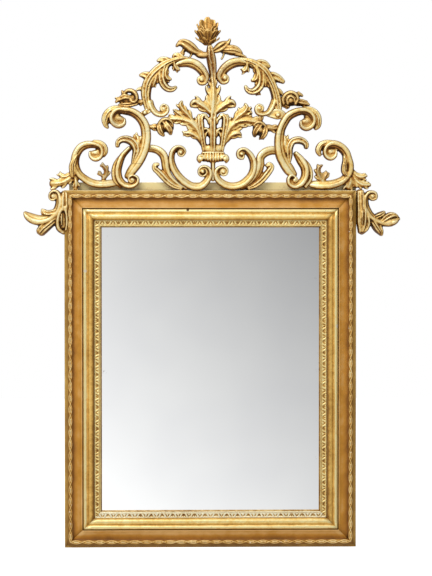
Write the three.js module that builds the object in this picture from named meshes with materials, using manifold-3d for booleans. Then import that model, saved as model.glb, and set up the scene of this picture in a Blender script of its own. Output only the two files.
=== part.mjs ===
// Overmantel mirror: a mitred, gilded frame round a mirror plate, with a pierced and carved crest.
// Millimetres, +Z up. The front faces -Y and the wall is on the +Y side.
// The origin is the middle of the underside of the bottom rail, halfway along it.

import * as THREE from 'three';
import { mergeVertices } from 'three/addons/utils/BufferGeometryUtils.js';
import Module from 'manifold-3d';

const wasm = await Module();
wasm.setup();

// ---------------------------------------------------------------- driving sizes

const glueGap = 0.3;            // left between two pieces that are glued or laid together

// frame, measured over its outer faces
const frameWidth = 816;
const frameHeight = 1000;
const backY = 22;               // rear face of the rails, stiles and base board

// section of a rail, from its outer face inwards
const outerEdgeY = -12;         // front corner of the outer side face
const slopeWidth = 9.5;
const ribbonWidth = 13;
const ribbonSeatY = -20;
const ribbonRise = 7;
const coveWidth = 27;
const coveFloorY = -13;
const coveLipY = -26;
const grooveWidth = 2.5;
const moldingSeatY = -18;
const moldingWidth = 31.5;      // the gilt bolection moulding inside the cove
const moldingRise = 16;
const slipWidth = 20.5;         // the carved sight edge next to the glass
const slipRise = 3.5;
const slipTongue = 2.5;         // how far the rail runs in behind the slip
const rebateFaceY = -8;
const rebateDepth = 8;          // how far the rebate is cut back behind the rail's inner edge

// glass and backing
const glassThickness = 4;
const backboardThickness = 12;

// crest
const crestAxis = 7;            // the crest stands a little to the right of the frame's middle
const crestBackY = 8;           // rear face of the carvings
const baseBoardLength = 804;
const baseBoardHeight = 22;
const flankBackY = 18;          // rear face of the two side carvings
const crown = 0.62;             // width of a carving's front face against its rear face

// ironwork on the back
const strapWidth = 30;
const strapThickness = 3;
const strapSpread = 300;        // between the two straps
const strapOnRail = 60;
const hangerBelowTop = 200;     // of the ring pivots below the frame's top
const hangerPlateWidth = 24;
const hangerPlateHeight = 62;
const hangerPlateThickness = 2.5;
const knuckleBore = 6.6;
const knuckleWall = 2;
const ringWire = 5;
const ringWidth = 46;           // over the middle of the wire
const ringDrop = 38;            // from the pivot to the middle of the wire at the bottom

// ---------------------------------------------------------------- finishes

const finishes = {
  burnishedGold: { color: 0xd2a552, roughness: 0.38, metalness: 0.7 },
  wornGold: { color: 0xc79a4c, roughness: 0.5, metalness: 0.55 },
  ochreGround: { color: 0xb27a30, roughness: 0.85, metalness: 0.05 },
  oldPine: { color: 0x8a6238, roughness: 0.9, metalness: 0 },
  silvering: { color: 0xd4d6d6, roughness: 0.05, metalness: 1 },
  iron: { color: 0x3a3632, roughness: 0.65, metalness: 0.8 },
};

// ---------------------------------------------------------------- the whole object

const mirror = new THREE.Group();

function addPiece(name, geometry, finish) {
  const mesh = new THREE.Mesh(geometry, new THREE.MeshStandardMaterial(finishes[finish]));
  mesh.name = name;
  mirror.add(mesh);
  return mesh;
}

// ---------------------------------------------------------------- solids

function geometryFrom(points, triangles) {
  const geometry = new THREE.BufferGeometry();
  geometry.setAttribute('position', new THREE.Float32BufferAttribute(points.flat(), 3));
  geometry.setIndex(triangles.flat());
  return faceOutwards(geometry);
}

function signedVolume(geometry) {
  const position = geometry.getAttribute('position');
  const index = geometry.getIndex();
  const corner = [new THREE.Vector3(), new THREE.Vector3(), new THREE.Vector3()];
  let volume = 0;
  for (let i = 0; i < index.count; i += 3) {
    corner.forEach((vertex, k) => vertex.fromBufferAttribute(position, index.getX(i + k)));
    volume += corner[0].dot(corner[1].clone().cross(corner[2])) / 6;
  }
  return volume;
}

function faceOutwards(geometry) {
  if (signedVolume(geometry) >= 0) return geometry;
  const index = geometry.getIndex();
  for (let i = 0; i < index.count; i += 3) {
    const second = index.getX(i + 1);
    index.setX(i + 1, index.getX(i + 2));
    index.setX(i + 2, second);
  }
  return geometry;
}

function welded(geometry) {
  const bare = geometry.clone();
  bare.deleteAttribute('normal');
  bare.deleteAttribute('uv');
  return faceOutwards(mergeVertices(bare, 1e-4));
}

function solidOf(geometry) {
  const shape = welded(geometry);
  return new wasm.Manifold(new wasm.Mesh({
    numProp: 3,
    vertProperties: new Float32Array(shape.getAttribute('position').array),
    triVerts: new Uint32Array(shape.getIndex().array),
  }));
}

function geometryOf(solid) {
  const mesh = solid.getMesh();
  const geometry = new THREE.BufferGeometry();
  geometry.setAttribute('position', new THREE.BufferAttribute(mesh.vertProperties, 3));
  geometry.setIndex(new THREE.BufferAttribute(mesh.triVerts, 1));
  return geometry;
}

function joined(solids) {
  return solids.reduce((whole, solid) => whole.add(solid));
}

function boxBetween(low, high) {
  const size = high.map((value, axis) => value - low[axis]);
  const box = new THREE.BoxGeometry(...size);
  box.translate(...low.map((value, axis) => value + size[axis] / 2));
  return box;
}

// ---------------------------------------------------------------- mitred members

// A section is drawn as (distance in from the frame's outer face, Y).
function sectionShape(draw) {
  const shape = new THREE.Shape();
  draw(shape);
  return shape.getPoints(4);
}

// Runs a section along one side of the frame, with a mitre at each end.
function mitredMember(side, section) {
  const half = frameWidth / 2;
  const ends = [0, 1].map((end) => section.map((point) => {
    const reach = point.x + glueGap / 2;
    const along = end === 0 ? -half + reach : half - reach;
    const rise = end === 0 ? reach : frameHeight - reach;
    const places = {
      top: [along, point.y, frameHeight - point.x],
      bottom: [along, point.y, point.x],
      left: [-half + point.x, point.y, rise],
      right: [half - point.x, point.y, rise],
    };
    return places[side];
  }));
  const count = section.length;
  const cap = THREE.ShapeUtils.triangulateShape(section, []);
  const walls = section.flatMap((_, i) => {
    const next = (i + 1) % count;
    return [[i, next, count + i], [next, count + next, count + i]];
  });
  // the caps are turned so that every edge is shared in opposite directions
  const clockwise = THREE.ShapeUtils.isClockWise(section);
  const first = cap.map(([a, b, c]) => (clockwise ? [a, b, c] : [a, c, b]));
  const turned = first.map(([a, b, c]) => [a + count, c + count, b + count]);
  return geometryFrom(ends.flat(), [...walls, ...first, ...turned]);
}

const ribbonFrom = slopeWidth;
const coveFrom = ribbonFrom + ribbonWidth;
const grooveFrom = coveFrom + coveWidth;
const moldingFrom = grooveFrom + grooveWidth;
const slipFrom = moldingFrom + moldingWidth;
const railEnd = slipFrom + slipTongue;
const sightEdge = slipFrom + slipWidth;
const rebateEdge = railEnd - rebateDepth;

function railSection(shape) {
  shape.moveTo(0, backY);
  shape.lineTo(0, outerEdgeY);
  shape.lineTo(ribbonFrom, ribbonSeatY);
  shape.lineTo(coveFrom, ribbonSeatY);
  shape.lineTo(coveFrom, coveFloorY);
  shape.quadraticCurveTo(coveFrom + coveWidth / 2, coveFloorY, grooveFrom, coveLipY);
  shape.lineTo(grooveFrom, moldingSeatY);
  shape.lineTo(railEnd, moldingSeatY);
  shape.lineTo(railEnd, rebateFaceY);
  shape.lineTo(rebateEdge, rebateFaceY);
  shape.lineTo(rebateEdge, backY);
}

function ribbonSection(shape) {
  const seat = ribbonSeatY - glueGap;
  const from = ribbonFrom + glueGap;
  const to = coveFrom - glueGap;
  shape.moveTo(from, seat);
  shape.lineTo(from, seat - ribbonRise / 3);
  shape.quadraticCurveTo(from, seat - ribbonRise, (from + to) / 2, seat - ribbonRise);
  shape.quadraticCurveTo(to, seat - ribbonRise, to, seat - ribbonRise / 3);
  shape.lineTo(to, seat);
}

function moldingSection(shape) {
  const seat = moldingSeatY - glueGap;
  const torus = moldingWidth / 4;
  const quirk = moldingFrom + torus;
  const crest = seat - moldingRise;
  shape.moveTo(moldingFrom, seat);
  shape.lineTo(moldingFrom, seat - moldingRise / 2);
  shape.quadraticCurveTo(moldingFrom + torus / 2, crest + 1, quirk, seat - moldingRise / 2);
  shape.quadraticCurveTo(quirk + 1, crest, quirk + torus, crest);
  shape.quadraticCurveTo(slipFrom - torus / 2, crest, slipFrom, seat - slipRise);
  shape.lineTo(slipFrom, seat);
}

function slipSection(shape) {
  const seat = moldingSeatY - glueGap;
  const from = slipFrom + glueGap;
  const inside = railEnd + glueGap;
  const bead = slipWidth / 4;
  const step = sightEdge - bead / 2;
  shape.moveTo(from, seat);
  shape.lineTo(from, seat - slipRise);
  shape.lineTo(step - bead, seat - slipRise / 2);
  shape.quadraticCurveTo(step - bead / 2, seat - slipRise * 1.8, step, seat - slipRise / 2);
  shape.lineTo(step, (seat + rebateFaceY) / 2);
  shape.lineTo(sightEdge, (seat + rebateFaceY) / 2);
  shape.lineTo(sightEdge, rebateFaceY);
  shape.lineTo(inside, rebateFaceY);
  shape.lineTo(inside, seat);
}

const members = {
  rail: { draw: railSection, finish: 'ochreGround' },
  ribbon: { draw: ribbonSection, finish: 'wornGold' },
  molding: { draw: moldingSection, finish: 'burnishedGold' },
  slip: { draw: slipSection, finish: 'wornGold' },
};
const memberName = (kind, side) => {
  const upright = side === 'left' || side === 'right';
  return kind === 'rail' && upright ? `stile_${side}` : `${kind}_${side}`;
};

for (const [kind, { draw, finish }] of Object.entries(members)) {
  const section = sectionShape(draw);
  for (const side of ['top', 'bottom', 'left', 'right']) {
    addPiece(memberName(kind, side), mitredMember(side, section), finish);
  }
}

// ---------------------------------------------------------------- glass and backing

const openingHalf = frameWidth / 2 - rebateEdge - glueGap;
const openingLow = rebateEdge + glueGap;
const openingHigh = frameHeight - rebateEdge - glueGap;
const glassFrontY = rebateFaceY + glueGap;
const glassRearY = glassFrontY + glassThickness;
const boardFrontY = glassRearY + glueGap;
const boardRearY = boardFrontY + backboardThickness;

addPiece('mirror_plate', boxBetween(
  [-openingHalf, glassFrontY, openingLow],
  [openingHalf, glassRearY, openingHigh],
), 'silvering');

for (const [name, from, to] of [
  ['backboard_left', -openingHalf, -glueGap / 2],
  ['backboard_right', glueGap / 2, openingHalf],
]) {
  addPiece(name, boxBetween([from, boardFrontY, openingLow], [to, boardRearY, openingHigh]), 'oldPine');
}

// ---------------------------------------------------------------- crest base board and straps

addPiece('crest_base_board', boxBetween(
  [crestAxis - baseBoardLength / 2, crestBackY + glueGap, frameHeight + glueGap],
  [crestAxis + baseBoardLength / 2, backY, frameHeight + baseBoardHeight],
), 'wornGold');

for (const [name, side] of [['crest_strap_left', -1], ['crest_strap_right', 1]]) {
  const middle = crestAxis + side * strapSpread / 2;
  addPiece(name, boxBetween(
    [middle - strapWidth / 2, backY + glueGap, frameHeight - strapOnRail],
    [middle + strapWidth / 2, backY + glueGap + strapThickness, frameHeight + baseBoardHeight - 3],
  ), 'iron');
}

// ---------------------------------------------------------------- hanging rings

const hangerHeight = frameHeight - hangerBelowTop;
const knuckleRadius = knuckleBore / 2 + knuckleWall;
const pivotY = backY + glueGap + knuckleRadius;
const hangerX = frameWidth / 2 - rebateEdge / 2;

// The plate is folded round the straight side of the ring as an open-ended tube.
function hangerPlate(centreX) {
  const half = hangerPlateWidth / 2;
  const plate = solidOf(boxBetween(
    [centreX - half, backY + glueGap, hangerHeight],
    [centreX + half, backY + glueGap + hangerPlateThickness, hangerHeight + hangerPlateHeight],
  ));
  const tube = (radius, length) => {
    const shape = new THREE.CylinderGeometry(radius, radius, length, 20);
    shape.rotateZ(Math.PI / 2);
    shape.translate(centreX, pivotY, hangerHeight);
    return solidOf(shape);
  };
  const bore = tube(knuckleBore / 2, hangerPlateWidth * 2);
  return geometryOf(plate.add(tube(knuckleRadius, hangerPlateWidth)).subtract(bore));
}

// A closed loop of wire: straight through the knuckle, then round in a bow below it.
class RingLine extends THREE.Curve {
  constructor(centreX) {
    super();
    this.centreX = centreX;
    this.half = ringWidth / 2;
  }

  getPoint(t, target = new THREE.Vector3()) {
    const angle = 2 * Math.PI * t;
    const across = Math.cos(angle);
    const down = Math.sin(angle);
    const topShare = 0.18;
    const bow = (value, power) => Math.sign(value) * Math.abs(value) ** power;
    const level = ringDrop * topShare;
    const depth = down > 0 ? down * (ringDrop - level) : bow(down, 0.5) * level;
    return target.set(this.centreX + this.half * bow(across, 0.7), pivotY, hangerHeight - level - depth);
  }
}

// The wire's section is carried round the line in its own plane, and the last ring meets the first.
function ringGeometry(centreX) {
  const line = new RingLine(centreX);
  const steps = 32;
  const sides = 8;
  const points = [];
  for (let i = 0; i < steps; i += 1) {
    const middle = line.getPoint(i / steps);
    const before = line.getPoint((i - 0.5) / steps);
    const after = line.getPoint((i + 0.5) / steps);
    const run = after.sub(before).normalize();
    const outward = new THREE.Vector3(run.z, 0, -run.x);
    for (let k = 0; k < sides; k += 1) {
      const turn = 2 * Math.PI * (k + 0.5) / sides;
      const reach = ringWire / 2 * Math.cos(turn);
      points.push([
        middle.x + outward.x * reach,
        middle.y + ringWire / 2 * Math.sin(turn),
        middle.z + outward.z * reach,
      ]);
    }
  }
  const triangles = [];
  for (let i = 0; i < steps; i += 1) {
    for (let k = 0; k < sides; k += 1) {
      const next = (k + 1) % sides;
      const a = i * sides + k;
      const b = i * sides + next;
      const c = ((i + 1) % steps) * sides + k;
      const d = ((i + 1) % steps) * sides + next;
      triangles.push([a, b, c], [b, d, c]);
    }
  }
  return geometryFrom(points, triangles);
}

for (const [name, side] of [['left', -1], ['right', 1]]) {
  addPiece(`hanger_plate_${name}`, hangerPlate(side * hangerX), 'iron');
  addPiece(`hanging_ring_${name}`, ringGeometry(side * hangerX), 'iron');
}

// ---------------------------------------------------------------- carved strips

// A carving is laid out flat. A station is [out, up, width, relief]: how far out from the crest's
// axis, how far above the frame's top, how wide the wood is and how far it stands out in front.
// A strip runs smoothly through its stations.

const carvedStrips = {
  left: {
    tall_scroll: [
      [[252, 185, 8, 26], [266, 184, 13, 28], [277, 196, 15, 30], [278, 211, 17, 32],
        [267, 222, 18, 34], [248, 222, 22, 35], [225, 217, 24, 36], [206, 204, 25, 36],
        [192, 183, 27, 36], [187, 158, 28, 36], [189, 130, 29, 36], [197, 102, 29, 35],
        [211, 76, 29, 33], [230, 50, 26, 30], [239, 36, 20, 26]],
      [[253, 230, 8, 22], [279, 227, 14, 24], [295, 214, 18, 26], [302, 197, 18, 26],
        [300, 182, 14, 25], [294, 175, 8, 22]],
    ],
    loop_scroll: [
      [[232, 118, 14, 24], [251, 97, 17, 26], [261, 74, 20, 29], [265, 52, 20, 30], [260, 29, 20, 31],
        [245, 15, 18, 33], [228, 13, 17, 34], [214, 21, 15, 34], [212, 33, 13, 33], [221, 39, 11, 32]],
      [[253, 103, 8, 18], [273, 74, 11, 22], [279, 49, 11, 24], [274, 25, 11, 24], [256, 9, 11, 20]],
    ],
    hook_leaf: [
      [[227, 67, 7, 24], [220, 91, 15, 30], [215, 112, 22, 34], [223, 132, 24, 36], [238, 142, 20, 35],
        [255, 144, 15, 33], [265, 136, 13, 32], [267, 123, 9, 30]],
      [[213, 105, 14, 30], [208, 130, 17, 32], [211, 148, 14, 30], [218, 156, 6, 26]],
    ],
    end_scroll: [
      [[337, 92, 10, 24], [326, 90, 11, 26], [317, 102, 13, 28], [319, 118, 15, 30], [332, 126, 18, 32],
        [349, 127, 22, 32], [367, 120, 24, 32], [379, 105, 24, 32], [385, 85, 24, 32],
        [384, 66, 24, 31], [374, 46, 21, 30], [354, 29, 22, 29], [332, 19, 22, 28], [304, 17, 22, 26],
        [287, 19, 22, 22], [274, 21, 21, 18]],
      [[325, 136, 6, 18], [309, 125, 11, 24], [301, 109, 11, 24], [305, 95, 8, 20]],
      [[307, 31, 14, 22], [297, 45, 14, 24], [298, 59, 13, 26], [307, 69, 10, 26], [314, 71, 6, 24]],
      [[304, 38, 11, 20], [315, 45, 10, 22], [320, 53, 6, 20]],
      [[385, 49, 14, 24], [399, 34, 20, 28], [419, 22, 22, 30], [435, 19, 24, 30], [451, 18, 25, 24]],
      [[391, 52, 11, 24], [407, 39, 14, 28], [421, 38, 15, 28], [430, 46, 8, 24]],
      [[386, 49, 11, 24], [384, 32, 14, 28], [382, 15, 15, 30], [384, 1, 8, 24]],
    ],
    inner_scroll: [
      [[86, 97, 8, 24], [79, 108, 10, 26], [87, 118, 12, 28], [101, 119, 14, 29], [112, 108, 17, 30],
        [116, 88, 18, 30], [111, 64, 21, 31], [99, 43, 22, 32], [80, 24, 22, 32], [57, 11, 22, 32],
        [35, 11, 22, 32], [17, 27, 20, 32], [9, 45, 17, 32], [14, 60, 14, 31], [27, 65, 12, 30],
        [37, 58, 11, 29], [38, 46, 9, 28], [29, 40, 8, 26]],
    ],
    link_scroll: [
      [[186, 117, 21, 16], [169, 116, 22, 18], [153, 111, 23, 22], [139, 98, 24, 25], [134, 81, 23, 26],
        [132, 63, 22, 26], [125, 43, 20, 25], [112, 27, 17, 24], [94, 13, 14, 22], [74, 4, 10, 20]],
      [[154, 72, 8, 22], [162, 71, 10, 24], [162, 61, 11, 25], [153, 54, 14, 26], [142, 41, 17, 26],
        [129, 27, 16, 25], [111, 13, 14, 24], [88, 4, 10, 22]],
    ],
    vase_leaf: [
      [[21, 116, 17, 22], [32, 141, 25, 26], [42, 167, 28, 28], [60, 188, 27, 30], [84, 197, 22, 30],
        [106, 199, 20, 30], [126, 199, 15, 28]],
      [[55, 189, 14, 28], [70, 210, 20, 32], [85, 225, 18, 34], [92, 239, 13, 34], [86, 249, 7, 30]],
      [[83, 203, 11, 28], [98, 215, 11, 30], [111, 225, 6, 28]],
      [[35, 136, 14, 22], [46, 150, 17, 26], [63, 159, 18, 28], [74, 160, 14, 28], [83, 158, 6, 26]],
    ],
    pendant_flower: [
      [[182, 178, 14, 22], [164, 176, 15, 24], [153, 178, 13, 26], [141, 178, 11, 28]],
      [[130, 189, 14, 26], [129, 199, 14, 28]],
    ],
    arch: [
      [[179, 225, 22, 26], [185, 248, 25, 28], [187, 272, 29, 30], [182, 297, 29, 32],
        [170, 318, 28, 33], [151, 337, 28, 34], [130, 352, 24, 34], [108, 362, 18, 33],
        [88, 367, 14, 30], [69, 369, 8, 26]],
      [[175, 248, 17, 26], [170, 230, 18, 28], [158, 215, 17, 30], [141, 211, 15, 31],
        [129, 220, 14, 31], [129, 232, 12, 30], [139, 237, 10, 29], [145, 231, 8, 28]],
      [[136, 349, 14, 32], [142, 332, 17, 33], [143, 311, 17, 34], [137, 294, 17, 35],
        [125, 282, 14, 35], [112, 282, 11, 34], [104, 288, 7, 31]],
      [[122, 353, 11, 30], [131, 335, 15, 32], [132, 319, 14, 33], [126, 309, 11, 33],
        [116, 309, 6, 30]],
      [[108, 360, 11, 30], [108, 349, 14, 31], [101, 337, 10, 31], [93, 335, 6, 29]],
      [[150, 337, 11, 30], [157, 318, 14, 31], [163, 301, 14, 31], [168, 288, 6, 28]],
      [[125, 358, 14, 24], [139, 363, 14, 24], [154, 363, 8, 20]],
      [[172, 323, 17, 24], [188, 325, 18, 22], [203, 323, 8, 18]],
      [[192, 284, 14, 22], [203, 280, 10, 20], [213, 274, 5, 18]],
      [[85, 370, 11, 24], [99, 377, 13, 24], [109, 374, 6, 20]],
    ],
    arch_scroll: [
      [[85, 354, 21, 24], [66, 356, 27, 28], [45, 348, 28, 30], [29, 332, 26, 31], [20, 314, 21, 31],
        [24, 300, 14, 30], [36, 299, 12, 29], [41, 307, 10, 28]],
    ],
    strut: [
      [[203, 208, 15, 22], [177, 224, 15, 24]],
    ],
    rosette_spray: [
      [[186, 253, 11, 22], [203, 245, 14, 24], [217, 247, 14, 26]],
      [[237, 246, 14, 24], [252, 252, 14, 26], [265, 254, 11, 27], [271, 244, 6, 24]],
      [[242, 256, 8, 22], [248, 266, 10, 24], [249, 275, 5, 22]],
    ],
  },
  right: {
    tall_scroll: [
      [[258, 188, 22, 26], [270, 191, 15, 28], [275, 203, 17, 31], [265, 215, 21, 34],
        [248, 220, 22, 35], [228, 216, 24, 36], [211, 206, 25, 36], [199, 189, 25, 36],
        [190, 169, 25, 36], [186, 147, 28, 36], [186, 122, 29, 36], [190, 99, 31, 36],
        [200, 77, 31, 34], [214, 56, 31, 32], [227, 41, 22, 28]],
      [[265, 228, 8, 22], [279, 221, 14, 24], [291, 210, 18, 26], [296, 195, 18, 26],
        [294, 179, 17, 25], [287, 172, 10, 22]],
    ],
    loop_scroll: [
      [[230, 104, 14, 24], [245, 84, 24, 27], [257, 62, 24, 30], [257, 39, 22, 31], [246, 20, 21, 32],
        [230, 12, 18, 33], [216, 18, 18, 34], [213, 32, 15, 33], [221, 40, 13, 32], [229, 35, 10, 31]],
      [[248, 92, 8, 18], [267, 71, 11, 22], [275, 50, 11, 24], [273, 29, 11, 24], [258, 9, 13, 20]],
    ],
    hook_leaf: [
      [[213, 74, 8, 26], [214, 97, 18, 31], [214, 119, 21, 35], [223, 136, 20, 35], [239, 142, 18, 34],
        [255, 137, 16, 33], [262, 127, 13, 32], [260, 118, 9, 30]],
      [[204, 105, 17, 30], [201, 130, 22, 32], [201, 143, 17, 30], [199, 153, 8, 27]],
    ],
    end_scroll: [
      [[339, 102, 13, 24], [329, 95, 15, 26], [318, 104, 18, 29], [319, 120, 22, 31],
        [335, 128, 24, 32], [354, 122, 25, 32], [370, 107, 25, 32], [377, 88, 25, 32],
        [381, 69, 27, 31], [379, 49, 25, 30], [368, 32, 22, 29], [349, 21, 24, 28], [323, 15, 25, 27],
        [295, 15, 25, 24], [272, 18, 18, 18]],
      [[317, 128, 11, 20], [303, 127, 17, 24], [294, 115, 17, 25], [296, 103, 17, 24], [306, 99, 11, 20]],
      [[309, 21, 17, 22], [297, 39, 17, 24], [293, 55, 13, 26], [298, 67, 10, 26], [307, 70, 6, 24]],
      [[305, 22, 17, 20], [315, 41, 14, 22], [321, 50, 7, 20]],
      [[391, 52, 17, 24], [407, 38, 18, 28], [419, 37, 15, 28], [431, 41, 8, 24]],
      [[388, 49, 17, 24], [403, 24, 18, 28], [420, 15, 17, 30], [440, 15, 13, 25]],
      [[384, 49, 17, 24], [385, 24, 21, 28], [379, 6, 20, 26]],
      [[393, 38, 17, 24], [403, 10, 15, 26]],
    ],
    inner_scroll: [
      [[85, 100, 8, 24], [83, 90, 11, 26], [73, 94, 14, 28], [73, 107, 15, 29], [86, 113, 15, 29],
        [101, 102, 18, 30], [111, 84, 20, 31], [113, 63, 20, 32], [107, 43, 21, 32], [94, 27, 22, 32],
        [76, 15, 22, 32], [53, 11, 22, 32], [31, 17, 21, 32], [14, 31, 20, 32], [9, 48, 17, 31],
        [15, 60, 13, 30], [28, 64, 12, 29], [38, 57, 11, 28], [36, 45, 9, 27], [27, 43, 8, 26]],
    ],
    link_scroll: [
      [[181, 111, 24, 16], [161, 111, 25, 18], [144, 104, 25, 22], [133, 91, 24, 25], [132, 71, 24, 26],
        [127, 52, 24, 26], [116, 32, 22, 25], [101, 17, 18, 23], [80, 5, 10, 20]],
      [[151, 66, 8, 22], [157, 73, 10, 24], [164, 66, 12, 25], [158, 55, 15, 26], [148, 42, 17, 26],
        [136, 28, 17, 25], [118, 14, 15, 24], [98, 5, 10, 22]],
    ],
    vase_leaf: [
      [[22, 116, 17, 22], [32, 141, 25, 26], [42, 167, 28, 28], [57, 185, 27, 30], [78, 194, 22, 30],
        [102, 194, 25, 30], [125, 190, 24, 28]],
      [[53, 186, 14, 28], [71, 206, 22, 32], [88, 219, 20, 34], [95, 232, 13, 34], [89, 242, 7, 30]],
      [[69, 211, 14, 28], [74, 222, 11, 30], [78, 228, 6, 28]],
      [[92, 218, 14, 28], [102, 223, 10, 30], [109, 214, 6, 28]],
      [[38, 137, 14, 22], [48, 151, 21, 26], [60, 158, 22, 28], [72, 159, 17, 28], [79, 154, 7, 26]],
      [[66, 185, 14, 24], [80, 178, 11, 25], [95, 178, 7, 24]],
    ],
    pendant_flower: [
      [[144, 174, 22, 28], [158, 174, 24, 27], [171, 172, 15, 24], [183, 172, 13, 20]],
      [[132, 181, 17, 28], [131, 206, 15, 26]],
      [[136, 158, 20, 30], [136, 144, 6, 24]],
    ],
    arch: [
      [[181, 227, 25, 26], [178, 251, 27, 28], [173, 273, 25, 30], [165, 295, 25, 32],
        [155, 315, 25, 33], [143, 332, 27, 34], [126, 346, 25, 34], [106, 357, 21, 33],
        [88, 363, 15, 30], [70, 367, 10, 26]],
      [[171, 251, 17, 26], [163, 231, 17, 28], [153, 217, 15, 30], [139, 213, 14, 31],
        [125, 217, 14, 31], [122, 229, 13, 30], [128, 237, 11, 29], [137, 233, 11, 28]],
      [[122, 349, 17, 32], [132, 329, 18, 33], [134, 309, 18, 34], [130, 290, 21, 35],
        [116, 276, 17, 35], [103, 276, 13, 34], [94, 283, 10, 32], [92, 291, 6, 31]],
      [[106, 356, 14, 30], [119, 340, 15, 32], [124, 323, 17, 33], [119, 308, 14, 33],
        [108, 305, 8, 30]],
      [[95, 358, 15, 30], [95, 346, 15, 31], [90, 334, 15, 31], [82, 332, 8, 29]],
      [[140, 332, 14, 30], [144, 315, 21, 31], [147, 300, 17, 31], [147, 289, 8, 28]],
      [[125, 281, 14, 30], [127, 267, 8, 28]],
      [[123, 351, 17, 24], [139, 355, 17, 24], [156, 356, 10, 20]],
      [[155, 321, 17, 24], [172, 311, 21, 22], [189, 309, 17, 20], [203, 309, 7, 18]],
      [[178, 273, 14, 22], [192, 265, 11, 20]],
    ],
    arch_scroll: [
      [[85, 356, 20, 24], [66, 357, 27, 28], [46, 350, 28, 30], [29, 335, 27, 31], [20, 316, 23, 31],
        [27, 302, 15, 30], [39, 304, 12, 29], [41, 313, 10, 28]],
    ],
    strut: [
      [[150, 212, 11, 20], [167, 213, 25, 23], [182, 213, 31, 24], [199, 209, 20, 22]],
    ],
    rosette_spray: [
      [[175, 258, 11, 22], [192, 253, 17, 24], [209, 249, 20, 26]],
      [[186, 245, 8, 20], [200, 238, 11, 22], [213, 231, 8, 22]],
      [[234, 242, 17, 24], [248, 242, 17, 26], [263, 240, 11, 24]],
      [[228, 265, 14, 22], [237, 268, 10, 24], [241, 271, 6, 22]],
    ],
  },
};
const centrePlume = [
  [[-1, 200, 20, 34], [0, 228, 20, 34], [1, 256, 20, 33], [1, 284, 19, 32], [0, 312, 20, 28],
    [2, 340, 15, 26], [5, 368, 18, 28], [8, 391, 14, 26], [9, 403, 11, 24]],
];
const plumeLeaf = [
  [[4, 213, 14, 30], [21, 230, 22, 34], [38, 242, 20, 35], [50, 248, 14, 33], [59, 241, 6, 28]],
  [[1, 259, 14, 28], [13, 269, 17, 30], [21, 277, 8, 26]],
];
const topLeaf = {
  left: [
    [[12, 382, 11, 22], [27, 382, 14, 24], [43, 384, 17, 26], [57, 393, 18, 28], [71, 404, 22, 30],
      [87, 412, 18, 30], [102, 411, 8, 26]],
    [[78, 402, 8, 22], [84, 385, 9, 22], [85, 369, 8, 20]],
  ],
  right: [
    [[2, 387, 11, 22], [-10, 395, 20, 26], [-27, 402, 22, 28], [-41, 409, 14, 26], [-48, 417, 8, 22]],
    [[-27, 395, 14, 24], [-46, 389, 22, 28], [-63, 389, 20, 28], [-80, 392, 11, 24]],
    [[-60, 384, 14, 24], [-77, 378, 11, 24], [-94, 371, 6, 20]],
  ],
};
// The side carvings are laid out from the frame's outer face and from its top.
const flank = {
  left: [
    [[27, -22, 10, 36], [34, -28, 12, 38], [39, -18, 11, 40], [35, -8, 13, 42], [22, -6, 14, 43],
      [12, -16, 17, 44], [10, -32, 22, 46], [13, -52, 24, 46], [23, -70, 22, 44], [40, -83, 21, 42],
      [60, -90, 23, 40], [79, -89, 24, 38], [95, -81, 21, 38], [106, -71, 16, 36],
      [110, -62, 11, 32]],
    [[-5, -6, 20, 44], [-4, -27, 22, 48], [-3, -49, 21, 50], [2, -71, 22, 50], [5, -91, 24, 48],
      [1, -108, 20, 44], [-8, -122, 8, 38]],
    [[20, -60, 14, 40], [37, -67, 18, 42], [50, -67, 22, 42], [62, -59, 13, 36]],
    [[32, -85, 14, 38], [50, -102, 17, 40], [64, -116, 20, 40], [71, -125, 17, 34]],
    [[85, -83, 11, 34], [92, -65, 6, 30]],
  ],
  right: [
    [[44, -25, 10, 36], [53, -22, 14, 38], [52, -10, 15, 41], [37, -8, 15, 43], [27, -21, 18, 45],
      [26, -41, 22, 46], [32, -57, 22, 46], [43, -73, 22, 44], [60, -83, 24, 42], [80, -88, 28, 40],
      [96, -85, 36, 40], [112, -81, 28, 37], [124, -79, 7, 30]],
    [[16, -6, 24, 44], [17, -29, 25, 48], [19, -52, 25, 50], [22, -74, 27, 50], [24, -94, 27, 48],
      [18, -111, 20, 44], [5, -122, 8, 38]],
    [[53, -73, 14, 40], [66, -68, 15, 42], [75, -64, 11, 40], [78, -60, 6, 36]],
    [[46, -83, 17, 40], [59, -99, 20, 40], [66, -113, 17, 40], [70, -127, 8, 34]],
    [[91, -74, 14, 38], [101, -64, 8, 34]],
  ],
};

// Round bosses: [out, up, radius, relief].
const bosses = {
  left: {
    pendant_flower: [[130, 178, 18, 36]],
    strut: [[190, 216, 7, 32]],
    rosette_spray: [[228, 259, 18, 36]],
  },
  right: {
    pendant_flower: [[134, 169, 18, 36]],
    strut: [[181, 210, 8, 32]],
    rosette_spray: [[220, 252, 21, 36]],
  },
};

const longStep = 20;            // a longer stretch between two stations gets one more section

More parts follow.
